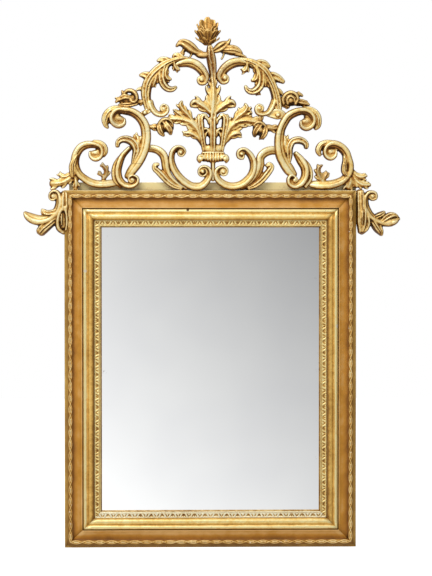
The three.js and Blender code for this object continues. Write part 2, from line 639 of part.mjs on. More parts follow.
// One strip as a closed solid with a narrower front, grown on all sides by `grow`.
function stripSolid(stations, place, grow) {
  const flat = stations.map(([out, up]) => new THREE.Vector3(out, up, 0));
  const line = new THREE.CatmullRomCurve3(flat, false, 'centripetal');
  const spans = stations.length - 1;
  const steps = [];
  for (let i = 0; i < spans; i += 1) {
    steps.push(i / spans);
    if (flat[i].distanceTo(flat[i + 1]) > longStep) steps.push((i + 0.5) / spans);
  }
  steps.push(1);
  const points = [];
  steps.forEach((t, i) => {
    const middle = line.getPoint(t);
    const run = line.getTangent(t);
    const station = Math.min(Math.floor(t * spans + 1e-9), spans - 1);
    const share = t * spans - station;
    const [width, relief] = [2, 3].map((k) => (
      THREE.MathUtils.lerp(stations[station][k], stations[station + 1][k], share)));
    const end = i === 0 ? -grow : (i === steps.length - 1 ? grow : 0);
    const rear = width / 2 + grow;
    const front = width / 2 * crown + grow;
    const height = relief + grow;
    for (const [reach, depth] of [[-rear, -grow], [-front, height], [front, height], [rear, -grow]]) {
      points.push(place(
        middle.x + run.x * end - run.y * reach,
        middle.y + run.y * end + run.x * reach,
        depth,
      ));
    }
  });
  const triangles = [[0, 1, 2], [0, 2, 3]];
  const last = points.length - 4;
  triangles.push([last, last + 2, last + 1], [last, last + 3, last + 2]);
  for (let i = 0; i < last; i += 4) {
    for (let k = 0; k < 4; k += 1) {
      const next = (k + 1) % 4;
      triangles.push([i + k, i + 4 + k, i + next], [i + next, i + 4 + k, i + 4 + next]);
    }
  }
  return solidOf(geometryFrom(points, triangles));
}

function bossSolid([out, up, radius, relief], place, grow) {
  const girth = radius + grow;
  const height = relief + grow;
  const shoulder = [girth * 0.72, height * 0.88];
  const profile = [[0, -grow], [girth, -grow], [girth, height * 0.5], shoulder, [0, height]];
  const shape = new THREE.LatheGeometry(profile.map(([x, y]) => new THREE.Vector2(x, y)), 14);
  const position = shape.getAttribute('position');
  for (let i = 0; i < position.count; i += 1) {
    position.setXYZ(i, ...place(out + position.getX(i), up + position.getZ(i), position.getY(i)));
  }
  return solidOf(shape);
}

// Where a point of the crest's layout stands on the object; side is -1 on the left.
const crestPlace = (side) => (out, up, depth) => (
  [crestAxis + side * out, crestBackY - depth, frameHeight + up]);
const flankPlace = (side) => (out, up, depth) => (
  [side * (frameWidth / 2 + out), flankBackY - depth, frameHeight + up]);

const carvingOf = (strips, round, place) => (grow = 0) => joined([
  ...strips.map((stations) => stripSolid(stations, place, grow)),
  ...(round ?? []).map((boss) => bossSolid(boss, place, grow)),
]);

// ---------------------------------------------------------------- vase, collar and finial

const vaseTop = 214;
const vaseFoot = 108;
const vaseDepth = 32;
const vaseHalf = [
  [29, vaseFoot], [35, 139], [41, 167], [46, 195], [43, 209], [35, vaseTop], [27, 202], [13, 206],
];
const vaseSlots = [
  { out: 15.5, from: 127, to: 164, width: 10 },
  { out: 20, from: 176, to: 195, width: 8 },
];

const collarHalf = 31;
const collarHeight = 34;
const collarDepth = 34;
const collarBallRadius = 12;
const collarStem = [[0, 80, 15, 26], [0, 52, 14, 26], [0, 28, 12, 24]];

// The vase and its collar grow towards every side but their shared joint.
function extrudedCarving(outline, holes, depth, grow) {
  const shape = new THREE.Shape(outline.map(([x, y]) => new THREE.Vector2(x, y)));
  holes.forEach((hole) => shape.holes.push(new THREE.Path(hole.map(([x, y]) => new THREE.Vector2(x, y)))));
  const solid = new THREE.ExtrudeGeometry(shape, { depth: depth + 2 * grow, bevelEnabled: false });
  solid.translate(0, 0, -grow);
  const position = solid.getAttribute('position');
  const place = crestPlace(-1);
  for (let i = 0; i < position.count; i += 1) {
    position.setXYZ(i, ...place(position.getX(i), position.getY(i), position.getZ(i)));
  }
  return solidOf(solid);
}

function vase(grow = 0) {
  const half = vaseHalf.map(([out, up]) => [out + grow, up === vaseFoot ? up : up + grow]);
  const outline = [...half, ...half.map(([out, up]) => [-out, up]).reverse()];
  const slot = (side) => ({ out, from, to, width }) => {
    const reach = width / 2 - grow;
    const low = from + reach + grow;
    const high = to - reach - grow;
    return [
      [side * out - reach, low], [side * out, low - reach], [side * out + reach, low],
      [side * out + reach, high], [side * out, high + reach], [side * out - reach, high],
    ];
  };
  const holes = grow > 0 ? [] : [...vaseSlots.map(slot(-1)), ...vaseSlots.map(slot(1))];
  return extrudedCarving(outline, holes, vaseDepth, grow);
}

function vaseCollar(grow = 0) {
  const top = vaseFoot - glueGap;
  const low = vaseFoot - collarHeight;
  const reach = collarHalf + grow;
  const bar = extrudedCarving([[reach, low - grow], [reach, top], [-reach, top], [-reach, low - grow]], [],
    collarDepth, grow);
  const ballUp = low + collarBallRadius;
  return joined([
    bar,
    ...[-1, 1].map((side) => (
      bossSolid([side * collarHalf, ballUp, collarBallRadius, collarDepth + 2], crestPlace(-1), grow))),
    stripSolid(collarStem, crestPlace(-1), grow),
  ]);
}

const finialAxis = 15;          // the flower leans over to the left of the crest's axis
const finialFoot = 403.3;
const finialProfile = [
  [0, 0], [7, 0], [8, 7], [14, 12], [30, 22], [38, 36], [36, 52], [26, 66], [12, 78], [0, 83],
];
const finialFlatten = 0.62;
const finialY = -5;

function finialFlower() {
  const shape = new THREE.LatheGeometry(finialProfile.map(([x, y]) => new THREE.Vector2(x, y)), 16);
  shape.rotateX(Math.PI / 2);
  shape.scale(1, finialFlatten, 1);
  shape.translate(crestAxis - finialAxis, finialY, frameHeight + finialFoot);
  return solidOf(shape);
}

// ---------------------------------------------------------------- putting the carvings together

// A carving gives way to the ones it is glued to, less the glue gap.
function cutBy(solid, others) {
  return others.reduce((rest, other) => rest.subtract(other), solid);
}

// Everything of the crest stands on the frame's top.
const frameTop = solidOf(boxBetween(
  [-frameWidth, -frameWidth, frameHeight - frameWidth],
  [frameWidth, frameWidth, frameHeight + glueGap],
));

const plume = carvingOf([...centrePlume, ...plumeLeaf, ...plumeLeaf.map((strip) => (
  strip.map(([out, up, width, relief]) => [-out, up, width, relief])))], [], crestPlace(-1));

addPiece('vase', geometryOf(vase()), 'burnishedGold');
addPiece('vase_collar', geometryOf(vaseCollar()), 'burnishedGold');
addPiece('centre_plume', geometryOf(cutBy(plume(), [vase(glueGap)])), 'burnishedGold');
addPiece('finial_flower', geometryOf(finialFlower()), 'wornGold');

const sides = [['left', -1], ['right', 1]];
const archOf = {};

for (const [name, side] of sides) {
  const place = crestPlace(side);
  const carvings = {};
  for (const [kind, strips] of Object.entries(carvedStrips[name])) {
    carvings[kind] = carvingOf(strips, bosses[name][kind], place);
  }
  archOf[name] = carvings.arch;
  const grown = (...names) => names.map((other) => carvings[other](glueGap));
  const gluedTo = {
    tall_scroll: grown('loop_scroll'),
    loop_scroll: [],
    hook_leaf: grown('tall_scroll', 'loop_scroll'),
    end_scroll: grown('loop_scroll'),
    inner_scroll: [vaseCollar(glueGap)],
    link_scroll: grown('tall_scroll', 'inner_scroll'),
    vase_leaf: [vase(glueGap)],
    pendant_flower: grown('tall_scroll', 'vase_leaf', 'arch'),
    arch: [],
    arch_scroll: [...grown('arch'), plume(glueGap)],
    strut: grown('tall_scroll', 'arch'),
    rosette_spray: grown('arch', 'tall_scroll'),
  };
  for (const [kind, carving] of Object.entries(carvings)) {
    const solid = cutBy(carving(), [...gluedTo[kind], frameTop]);
    addPiece(`${kind}_${name}`, geometryOf(solid), 'burnishedGold');
  }
}

for (const name of ['left', 'right']) {
  const leaf = carvingOf(topLeaf[name], [], crestPlace(-1));
  const solid = cutBy(leaf(), [plume(glueGap), archOf[name](glueGap)]);
  addPiece(`top_leaf_${name}`, geometryOf(solid), 'burnishedGold');
}

// The side carvings lap over the frame's outer slope, so they are cut to its section.
for (const [name, side] of sides) {
  const grownRail = sectionShape((shape) => {
    shape.moveTo(-glueGap, backY + glueGap);
    shape.lineTo(-glueGap, outerEdgeY - glueGap);
    shape.lineTo(ribbonFrom, ribbonSeatY - glueGap * 1.5);
    shape.lineTo(ribbonFrom, ribbonSeatY - ribbonRise - 2 * glueGap);
    shape.lineTo(coveFrom, ribbonSeatY - ribbonRise - 2 * glueGap);
    shape.lineTo(coveFrom, backY + glueGap);
  });
  const solid = carvingOf(flank[name], [], flankPlace(side))();
  const seats = [solidOf(mitredMember(name, grownRail)), solidOf(mitredMember('top', grownRail))];
  addPiece(`flank_carving_${name}`, geometryOf(cutBy(solid, seats)), 'burnishedGold');
}

export default mirror;
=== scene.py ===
import math

import bmesh
import bpy
import numpy as np
from mathutils import Matrix, Vector


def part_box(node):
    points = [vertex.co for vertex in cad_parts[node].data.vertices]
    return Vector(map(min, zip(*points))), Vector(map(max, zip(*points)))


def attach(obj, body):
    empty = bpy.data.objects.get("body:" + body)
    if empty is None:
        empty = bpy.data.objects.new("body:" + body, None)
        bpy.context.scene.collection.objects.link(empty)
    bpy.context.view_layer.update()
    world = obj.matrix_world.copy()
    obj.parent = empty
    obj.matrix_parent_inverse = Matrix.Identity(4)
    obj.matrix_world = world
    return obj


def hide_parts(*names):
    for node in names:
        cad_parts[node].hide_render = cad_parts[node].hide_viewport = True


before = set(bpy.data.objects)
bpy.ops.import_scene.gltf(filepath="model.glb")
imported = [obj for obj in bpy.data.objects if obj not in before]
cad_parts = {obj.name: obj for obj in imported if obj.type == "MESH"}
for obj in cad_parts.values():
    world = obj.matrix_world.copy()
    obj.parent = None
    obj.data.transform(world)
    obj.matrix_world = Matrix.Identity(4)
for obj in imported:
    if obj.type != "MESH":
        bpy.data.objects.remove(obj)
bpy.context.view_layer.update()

# Overmantel mirror. Metres on the object; drawings of single carvings and sections are in millimetres.

MM = 0.001
FRAME_WIDTH = 816
FRAME_HEIGHT = 1000
GLUE_GAP = 0.3


# ---------------------------------------------------------------- colours and finishes

def tone(colour):
    """A colour as it looks, 0 to 255 a channel, for a shader socket. A socket stays what it is."""
    if isinstance(colour, bpy.types.NodeSocket):
        return colour
    channels = [value / 255 for value in colour]
    return (*[value / 12.92 if value <= 0.04045 else ((value + 0.055) / 1.055) ** 2.4
              for value in channels], 1)


class Nodes:
    """A node tree, put together node by node."""

    def __init__(self, owner):
        owner.use_nodes = True
        self.tree = owner.node_tree

    def put(self, socket, value):
        if isinstance(value, bpy.types.NodeSocket):
            self.tree.links.new(value, socket)
        else:
            socket.default_value = value

    def node(self, kind, inputs=None, **settings):
        made = self.tree.nodes.new(kind)
        for key, value in settings.items():
            setattr(made, key, value)
        for key, value in (inputs or {}).items():
            self.put(made.inputs[key], value)
        return made

    def sum(self, first, second, operation="ADD", clamp=False):
        made = self.node("ShaderNodeMath", operation=operation, use_clamp=clamp)
        self.put(made.inputs[0], first)
        self.put(made.inputs[1], second)
        return made.outputs[0]

    def times(self, first, second):
        return self.sum(first, second, "MULTIPLY")

    def unsigned(self, value):
        return self.sum(value, 0.0, "ABSOLUTE")

    def parts(self, vector):
        return self.node("ShaderNodeSeparateXYZ", {"Vector": vector}).outputs

    def span(self, value, low, high, start=0.0, end=1.0):
        """`value` from low..high to start..end, held at both ends."""
        return self.node("ShaderNodeMapRange", {
            "Value": value, "From Min": low, "From Max": high, "To Min": start, "To Max": end,
        }).outputs["Result"]


class Finish(Nodes):
    """One material."""

    def __init__(self, name, **surface):
        self.material = bpy.data.materials.new(name)
        super().__init__(self.material)
        self.surface = self.tree.nodes["Principled BSDF"]
        for socket, value in surface.items():
            self.put(self.surface.inputs[socket.replace("_", " ")], value)
        self.place = self.node("ShaderNodeTexCoord").outputs["Object"]

    def noise(self, scale, detail=3, roughness=0.6, place=None):
        return self.node("ShaderNodeTexNoise", {
            "Vector": place or self.place, "Scale": scale, "Detail": detail, "Roughness": roughness,
        }).outputs["Fac"]

    def stretched(self, across, deep, high):
        """Object coordinates squeezed along each axis, for grain and streaks."""
        return self.node("ShaderNodeMapping", {
            "Vector": self.place, "Scale": (across, deep, high)}).outputs["Vector"]

    def mixed(self, share, first, second):
        made = self.node("ShaderNodeMix", data_type="RGBA")
        self.put(made.inputs[0], share)
        self.put(made.inputs[6], tone(first))
        self.put(made.inputs[7], tone(second))
        return made.outputs[2]

    def ramp(self, value, stops):
        made = self.node("ShaderNodeValToRGB", {"Fac": value})
        scale = made.color_ramp.elements
        while len(scale) < len(stops):
            scale.new(0.5)
        for element, (at, colour) in zip(scale, stops):
            element.position = at
            element.color = tone(colour)
        return made.outputs["Color"]

    def facing(self):
        return self.parts(self.node("ShaderNodeNewGeometry").outputs["Normal"])

    def painted_slope_shade(self, most):
        """Painted shade by the way the surface faces: 0 where it faces forward or up, towards the lamp,
        `most` on slopes that face away from it.
        """
        parts = self.facing()
        front = self.sum(self.times(parts["Y"], -1.0), self.times(parts["Z"], 0.45))
        return self.span(front, 0.96, 0.42, 0, most)

    def spot(self, across, up, reach):
        """A round mark of about this reach, seen from the front, for chips, stains and browned spots of dirt
        and painted shade.
        """
        flat = self.node("ShaderNodeVectorMath", {0: self.place, 1: (1, 0, 1)}, operation="MULTIPLY")
        away = self.node("ShaderNodeVectorMath", {0: flat.outputs["Vector"], 1: (across, 0, up)},
                         operation="DISTANCE")
        ragged = self.span(self.noise(420, detail=3), 0.3, 0.7, -0.4 * reach, 0.4 * reach)
        return self.span(self.sum(away.outputs["Value"], ragged), reach, 0.75 * reach)

    def bare_behind(self, colour):
        """Carvings and frame are bare wood at the back."""
        grain = self.noise(70, detail=4, place=self.stretched(1.0, 1.0, 0.12))
        wood = self.ramp(grain, [(0.3, (182, 142, 92)), (0.7, (218, 182, 130))])
        return self.mixed(self.span(self.facing()["Y"], 0.45, 0.65), colour, wood)

    def attribute(self, name):
        return self.node("ShaderNodeAttribute", attribute_name=name).outputs["Fac"]

    def relief(self, height, distance, strength=1.0, under=None):
        inputs = {"Height": height, "Distance": distance, "Strength": strength}
        if under is not None:
            inputs["Normal"] = under
        return self.node("ShaderNodeBump", inputs).outputs["Normal"]

    def dressed(self, colour, roughness, normal=None):
        """Puts colour, roughness and relief on the surface."""
        self.put(self.surface.inputs["Base Color"], colour)
        self.put(self.surface.inputs["Roughness"], roughness)
        if normal is not None:
            self.put(self.surface.inputs["Normal"], normal)
        return self.material


RED_BOLE = (184, 112, 52)
DUST = (72, 46, 22)
GLUE_LINE = (96, 60, 24)
GESSO = (240, 228, 204)
# Where the boards that the tall scrolls are cut from are glued together: X and Z.
JOINTS_SHOWING = [(-0.181, 1.1638), (-0.204, 1.0742), (0.190, 1.1562)]
# Marks are X, Z, reach, strength and colour. On the bolection the gesso is bare, or nicked dark.
DAMAGE = [(-0.3500, 0.7745, 0.0052, 1.0, (240, 230, 206)), (0.3556, 0.6205, 0.0060, 1.0, (244, 236, 214)),
          (-0.0640, 0.9450, 0.0040, 1.0, (92, 62, 30)), (-0.0420, 0.0475, 0.0070, 1.0, (236, 214, 164)),
          (0.3540, 0.4020, 0.0030, 1.0, (226, 200, 150))]
# Spots on the carving painted browner, as dirt and painted shade, such as on the plume's shaft between the
# scroll ends.
DIRT_AND_SHADE_SPOTS = [(*spot, (140, 88, 36)) for spot in (
    (0.012, 1.362, 0.044, 0.55), (0.008, 1.318, 0.030, 0.35), (-0.302, 1.054, 0.028, 0.50),
    (0.316, 1.054, 0.028, 0.50), (0.366, 1.010, 0.034, 0.30), (-0.232, 1.150, 0.020, 0.30),
    (-0.256, 1.190, 0.024, 0.35), (0.262, 1.190, 0.024, 0.30))]


def gilding(name, ridge, plain, shade, dirt_and_shade, *, metal=0.42, slope_shade=0.42, bole=0.5, chips=0.0, gloss=0.0,
            marks=(), pitted=0.45):
    """Leaf gold over a red-brown bole, with a painted highlight on the ridges and painted shade, brown, on
    slopes and in hollows; the darkest colour, in the grooves, is painted shade and dirt together.
    """
    gilt = Finish(name, Metallic=metal, IOR=1.5)
    hollow = gilt.attribute("hollow")
    clouds = gilt.noise(14, detail=4)
    blotches = gilt.noise(90, detail=4, roughness=0.7)
    speckle = gilt.noise(520, detail=2)
    # How dark each point is painted: painted shade from the hollow attribute and from the way the surface
    # faces, with random clouds and blotches.
    depth = gilt.sum(hollow, gilt.span(clouds, 0.3, 0.7, -0.12, 0.12))
    depth = gilt.sum(depth, gilt.span(blotches, 0.3, 0.7, -0.12, 0.12))
    depth = gilt.sum(depth, gilt.painted_slope_shade(slope_shade))
    colour = gilt.ramp(depth, [(0.28, ridge), (0.54, plain), (0.80, shade), (1.0, dirt_and_shade)])
    rubbed = gilt.times(gilt.span(blotches, 0.60, 0.70), gilt.span(hollow, 0.55, 0.25))
    rubbed = gilt.times(rubbed, gilt.span(speckle, 0.42, 0.60, 0.2, bole))
    colour = gilt.mixed(rubbed, colour, RED_BOLE)
    dust = gilt.times(gilt.span(speckle, 0.60, 0.72, 0, 0.5), gilt.span(hollow, 0.35, 0.75))
    colour = gilt.mixed(dust, colour, DUST)
    parts = gilt.parts(gilt.place)
    for across, up in JOINTS_SHOWING:
        level = gilt.sum(gilt.sum(parts["Z"], gilt.span(clouds, 0.3, 0.7, -0.001, 0.001)), up, "SUBTRACT")
        level = gilt.span(gilt.unsigned(level), 0.0009, 0.0004)
        beside = gilt.span(gilt.unsigned(gilt.sum(parts["X"], across, "SUBTRACT")), 0.030, 0.026)
        colour = gilt.mixed(gilt.times(gilt.times(level, beside), 0.6), colour, GLUE_LINE)
    for across, up, reach, share, shown in marks:
        colour = gilt.mixed(gilt.times(gilt.spot(across, up, reach), share), colour, shown)
    if chips:
        flakes = gilt.node("ShaderNodeTexVoronoi", {"Vector": gilt.place, "Scale": 60.0}).outputs["Distance"]
        flakes = gilt.times(gilt.span(flakes, chips, chips - 0.03), gilt.span(clouds, 0.55, 0.6))
        colour = gilt.mixed(flakes, colour, GESSO)
    roughness = gilt.sum(gilt.span(hollow, 0.25, 0.8, 0.36 - gloss, 0.62),
                         gilt.span(blotches, 0.3, 0.7, -0.06, 0.08))
    fine = gilt.relief(speckle, 0.0004, 0.35)
    return gilt.dressed(gilt.bare_behind(colour), roughness, gilt.relief(blotches, 0.0012, pitted, fine))


def ochre_paint():
    paint = Finish("ochre_paint", Metallic=0.0)
    hollow = paint.attribute("hollow")
    clouds = paint.noise(9, detail=5)
    brushed = paint.noise(60, detail=3, place=paint.stretched(0.6, 1.0, 0.6))
    wear = paint.noise(160, detail=4, roughness=0.75)
    # How dark the paint is painted: painted shade from the hollow attribute and from the way the surface
    # faces, with random clouds and brush streaks.
    depth = paint.sum(hollow, paint.span(clouds, 0.3, 0.7, -0.10, 0.10))
    depth = paint.sum(depth, paint.span(brushed, 0.3, 0.7, -0.06, 0.06))
    depth = paint.sum(depth, paint.painted_slope_shade(0.22))
    colour = paint.ramp(depth, [(0.15, (236, 190, 120)), (0.42, (206, 144, 48)), (0.66, (168, 108, 22)),
                                (0.95, (94, 58, 10))])
    colour = paint.mixed(paint.span(wear, 0.62, 0.74, 0, 0.35), colour, (226, 190, 130))
    edge = paint.ramp(depth, [(0.24, (242, 214, 148)), (0.34, (206, 164, 78)), (0.50, (176, 132, 52)),
                              (0.75, (126, 86, 26)), (1.0, (84, 50, 12))])
    parts = paint.parts(paint.place)
    half_width, half_height = FRAME_WIDTH / 2 * MM, FRAME_HEIGHT / 2 * MM
    sideways = paint.sum(half_width, paint.unsigned(parts["X"]), "SUBTRACT")
    upright = paint.sum(half_height, paint.unsigned(paint.sum(parts["Z"], -half_height)), "SUBTRACT")
    outer_slope = paint.span(paint.sum(sideways, upright, "MINIMUM"), 0.0100, 0.0095)
    colour = paint.mixed(outer_slope, colour, edge)
    fine = paint.relief(wear, 0.0006, 0.4)
    return paint.dressed(paint.bare_behind(colour), paint.span(wear, 0.3, 0.7, 0.5, 0.75),
                         paint.relief(brushed, 0.0015, 0.3, fine))


def old_pine():
    wood = Finish("old_pine", Metallic=0.0)
    grain = wood.noise(26, detail=6, roughness=0.65, place=wood.stretched(9, 9, 0.35))
    rings = wood.noise(7, detail=3, place=wood.stretched(5, 5, 0.3))
    stains = wood.noise(5, detail=4)
    fibre = wood.noise(240, detail=2, place=wood.stretched(3, 3, 0.12))
    colour = wood.ramp(wood.sum(wood.span(grain, 0.25, 0.75, 0, 0.6), wood.span(rings, 0.3, 0.7, 0, 0.4)),
                       [(0.15, (214, 170, 118)), (0.5, (182, 136, 88)), (0.85, (128, 88, 54))])
    colour = wood.mixed(wood.span(stains, 0.5, 0.75, 0, 0.45), colour, (104, 76, 52))
    return wood.dressed(colour, wood.span(grain, 0.3, 0.7, 0.75, 0.92), wood.relief(fibre, 0.0008, 0.5))


def forged_iron():
    iron = Finish("forged_iron", Metallic=0.85)
    scale = iron.noise(70, detail=5, roughness=0.7)
    rust = iron.noise(28, detail=5)
    colour = iron.ramp(scale, [(0.3, (44, 40, 37)), (0.7, (84, 78, 72))])
    colour = iron.mixed(iron.span(rust, 0.52, 0.7, 0, 0.8), colour, (112, 62, 34))
    return iron.dressed(colour, iron.span(rust, 0.4, 0.7, 0.45, 0.85), iron.relief(scale, 0.0010, 0.6))


def mirror_silvering():
    glass = Finish("mirror_silvering", Metallic=1.0)
    foxing = glass.noise(40, detail=5, roughness=0.75)
    haze = glass.noise(3, detail=2)
    sides = glass.span(glass.unsigned(glass.parts(glass.place)["X"]), 0.285, 0.315)
    specks = glass.times(glass.span(foxing, 0.62, 0.74), sides)
    colour = glass.mixed(glass.span(haze, 0.4, 0.6), (243, 244, 244), (239, 240, 241))
    colour = glass.mixed(specks, colour, (120, 104, 84))
    return glass.dressed(colour, glass.span(specks, 0, 1, 0.015, 0.4))


# Each gilding by its colours from the ridges down into the hollows: painted highlight, the plain gold,
# painted shade, and the darkest painted shade with dirt.
CARVED = gilding("carved_gilding", (255, 242, 190), (248, 210, 122), (172, 108, 24), (80, 46, 8),
                 slope_shade=0.5, chips=0.10, marks=DIRT_AND_SHADE_SPOTS)
SHADED = gilding("shaded_gilding", (236, 194, 116), (196, 144, 60), (128, 82, 22), (52, 32, 10), bole=0.7)
# A darker, browner copy of the carved gilding for the sprays, the hanging flowers and the top leaves: painted
# shade.
HALF_SHADED = gilding("half_shaded_gilding", (252, 222, 152), (224, 174, 92), (150, 100, 32), (62, 38, 10),
               slope_shade=0.5, bole=0.7)
FLANK_GILT = gilding("flank_gilding", (255, 234, 176), (238, 196, 112), (162, 106, 28), (68, 40, 8),
                     slope_shade=0.5, chips=0.10)
# A paler copy of the sight gilding for the bottom rail's leaf edge, which faces up to the lamp: painted
# light.
PALE_SIGHT = gilding("pale_sight_gilding", (255, 250, 220), (250, 228, 166), (196, 150, 80), (104, 66, 26),
                     slope_shade=0.1, bole=0.4)
BURNISHED = gilding("burnished_gilding", (255, 238, 172), (248, 204, 110), (206, 156, 70), (150, 108, 48),
                    metal=0.45, slope_shade=0.24, gloss=0.04, bole=0.2, pitted=0.12, marks=DAMAGE)
# The crest board's pale gilding, painted brighter to make up for the crest's shadow on it: partly its own
# colour, partly painted light.
BOARD_GILT = gilding("board_gilding", (255, 236, 170), (255, 224, 138), (248, 196, 104), (180, 130, 60),
                     metal=0.12, slope_shade=0.2)
WORN_GILT = gilding("worn_gilding", (255, 244, 190), (242, 198, 110), (204, 150, 66), (154, 106, 42),
                    slope_shade=0.2, bole=0.6, chips=0.12)
SIGHT_GILT = gilding("sight_gilding", (255, 236, 166), (236, 194, 108), (194, 148, 70), (128, 86, 32),
                     slope_shade=0.2, bole=0.8)
OCHRE = ochre_paint()
PINE = old_pine()
IRON = forged_iron()
SILVER = mirror_silvering()


# ---------------------------------------------------------------- making pieces

def placed(name, data):
    """A new object in the scene."""
    made = bpy.data.objects.new(name, data)
    bpy.context.scene.collection.objects.link(made)
    return made


def piece(name, mesh, finish, stands_for=()):
    made = placed(name, mesh)
    mesh.materials.clear()
    mesh.materials.append(finish)
    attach(made, "frame")
    if stands_for:
        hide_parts(*stands_for)


def mesh_from(bm, name, smooth=True):
    bmesh.ops.recalc_face_normals(bm, faces=bm.faces)
    mesh = bpy.data.meshes.new(name)
    bm.to_mesh(mesh)
    bm.free()
    if smooth:
        mesh.shade_smooth()
    return mesh


def bowed(start, control, end, hollows):
    """A bowed stretch of a section without its last point: one point for each given hollow."""
    points = []
    for k, deep in enumerate(hollows):
        t = k / len(hollows)
        points.append((*[(1 - t) ** 2 * a + 2 * t * (1 - t) * b + t * t * c
                         for a, b, c in zip(start, control, end)], deep))
    return points


def closed_line(bm, points):
    verts = [bm.verts.new(point) for point in points]
    return [bm.edges.new((a, b)) for a, b in zip(verts, verts[1:] + verts[:1])]


def carried_on(bm, line, matrix):
    """Extrudes a closed line of edges and moves the new line by a matrix."""
    made = bmesh.ops.extrude_edge_only(bm, edges=line)["geom"]
    verts = [item for item in made if isinstance(item, bmesh.types.BMVert)]
    bmesh.ops.transform(bm, matrix=matrix, verts=verts)
    ends = set(verts)
    return [item for item in made
            if isinstance(item, bmesh.types.BMEdge) and item.verts[0] in ends and item.verts[1] in ends]


def swept(bm, section, cuts):
    """Runs a flat section through the cuts and closes both ends."""
    edges = closed_line(bm, [cuts[0] @ Vector((*point, 0)) for point in section])
    bmesh.ops.contextual_create(bm, geom=edges)
    for before, after in zip(cuts, cuts[1:]):
        edges = carried_on(bm, edges, after @ before.inverted())
    bmesh.ops.contextual_create(bm, geom=edges)


# ---------------------------------------------------------------- how a carving is cut

# Cross-sections of the carved work, from the outside of a curl to its inside, by share of the height.
BAND = [(-1, 0), (-1, .58), (-.95, .76), (-.84, .90), (-.68, .97), (-.46, 1), (-.20, 1), (.04, .97),
        (.18, .92), (.26, .72), (.34, .84), (.50, .84), (.66, .77), (.80, .70), (.92, .60), (1, .46), (1, 0)]
LEAF = [(-1, 0), (-1, .52), (-.90, .73), (-.68, .85), (-.44, .86), (-.30, .89), (-.12, .95), (0, .91),
        (.12, .97), (.30, .91), (.44, .86), (.68, .83), (.90, .69), (1, .46), (1, 0)]
LOBE = [(-1, 0), (-1, .55), (-.88, .77), (-.55, .92), (-.24, .93), (0, .88), (.24, .91), (.55, .88),
        (.88, .70), (1, .5), (1, 0)]
FLUTED = [(-1, 0), (-1, .52), (-.9, .77), (-.74, .89), (-.57, .87), (-.46, .68), (-.36, .85), (-.12, .98),
          (.08, .94), (.20, .70), (.32, .85), (.52, .88), (.66, .78), (.74, .60), (.84, .66), (1, .44),
          (1, 0)]
HUSK = [(-1, 0), (-1, .56), (-.92, .77), (-.76, .90), (-.54, .94), (-.34, .88), (-.20, .76), (-.06, .86),
        (.14, .97), (.36, 1), (.58, .94), (.78, .80), (.93, .62), (1, .46), (1, 0)]
STEM = [(-1, 0), (-.98, .42), (-.88, .68), (-.68, .88), (-.36, .99), (0, 1), (.36, .99), (.68, .88),
        (.88, .68),
        (.98, .42), (1, 0)]
PLATE = [(-1, 0), (-1, .84), (-.9, .95), (-.7, 1), (-.5, .96), (0, .94), (.5, .96), (.7, 1), (.9, .95),
         (1, .84), (1, 0)]

# A lobe by share of the leaf's half width: away from the spine, on along it, width, and share of height.
LOBE_LINE = [(.24, -.7, .8, .86), (.58, -.1, 1.0, .88), (.92, .45, .9, .86), (1.14, .95, .6, .88),
             (1.1, 1.35, .34, .84)]
LEAST_LOBE = 5.0                # a leaf narrower than this to a side has no lobes
LOBE_GAP = 1.75                 # from lobe to lobe, by the leaf's half width
BARE_STALK = 0.25               # share of a leaf before its first lobe
# Past the last station of a strip: how far, by its half width, and how wide it still is.
ROUNDED_END = [(0.55, 0.45), (0.3, 0.8)]
THINNEST = 3.0                  # strip
BOSS_FLATNESS = 0.9
COIL_STEPS = 7
COIL_TURNS = 0.9
COIL_END = 0.3                  # radius of a coil at its eye, by its radius where it starts
HOLLOW_ROUNDS = 26
FULL_HOLLOW = 0.0034            # metres below the evened skin that count as a full hollow
STEP = 4.5                      # between two cuts along a carving
GRAIN = 1.6                     # the finest carved detail


def drawn_through(stations):
    """Stations closer together, on the smooth line through the given ones."""
    points = [np.array(station, float) for station in stations]
    points = [2 * points[0] - points[1], *points, 2 * points[-1] - points[-2]]
    fine = []
    for before, first, second, after in zip(points, points[1:], points[2:], points[3:]):
        gaps = [max(math.dist(a[:2], b[:2]), 1e-6) ** 0.5
                for a, b in ((before, first), (first, second), (second, after))]
        leave = gaps[1] * ((first - before) / gaps[0] - (second - before) / (gaps[0] + gaps[1])
                           + (second - first) / gaps[1])
        arrive = gaps[1] * ((second - first) / gaps[1] - (after - first) / (gaps[1] + gaps[2])
                            + (after - second) / gaps[2])
        count = max(2, round(math.dist(first[:2], second[:2]) / STEP))
        for k in range(count):
            t = k / count
            fine.append(first + leave * t + (3 * (second - first) - 2 * leave - arrive) * t * t
                        + (2 * (first - second) + leave + arrive) * t ** 3)
    fine.append(points[-2])
    return fine


def curled_in(stations, middle):
    """Carries the end of a scroll that is nearer to its eye on round it, in a closing coil."""
    centre = np.array(middle, float)
    if math.dist(stations[-1][:2], middle) < math.dist(stations[0][:2], middle):
        return curled_in(stations[::-1], middle)[::-1]
    out, up, width, height = stations[0]
    spoke = np.array((out, up), float) - centre
    onwards = np.array(stations[1][:2], float) - (out, up)
    way = -1 if spoke[0] * onwards[1] - spoke[1] * onwards[0] > 0 else 1
    reach, angle = float(np.hypot(*spoke)), math.atan2(spoke[1], spoke[0])
    coil = []
    for k in range(1, COIL_STEPS + 1):
        share = k / COIL_STEPS
        turn = angle + way * share * COIL_TURNS * 2 * math.pi
        radius = reach * (1 - (1 - COIL_END) * share)
        coil.append((centre[0] + radius * math.cos(turn), centre[1] + radius * math.sin(turn),
                     width * (1 - 0.35 * share), height + 1.5 * share))
    return coil[::-1] + list(stations)


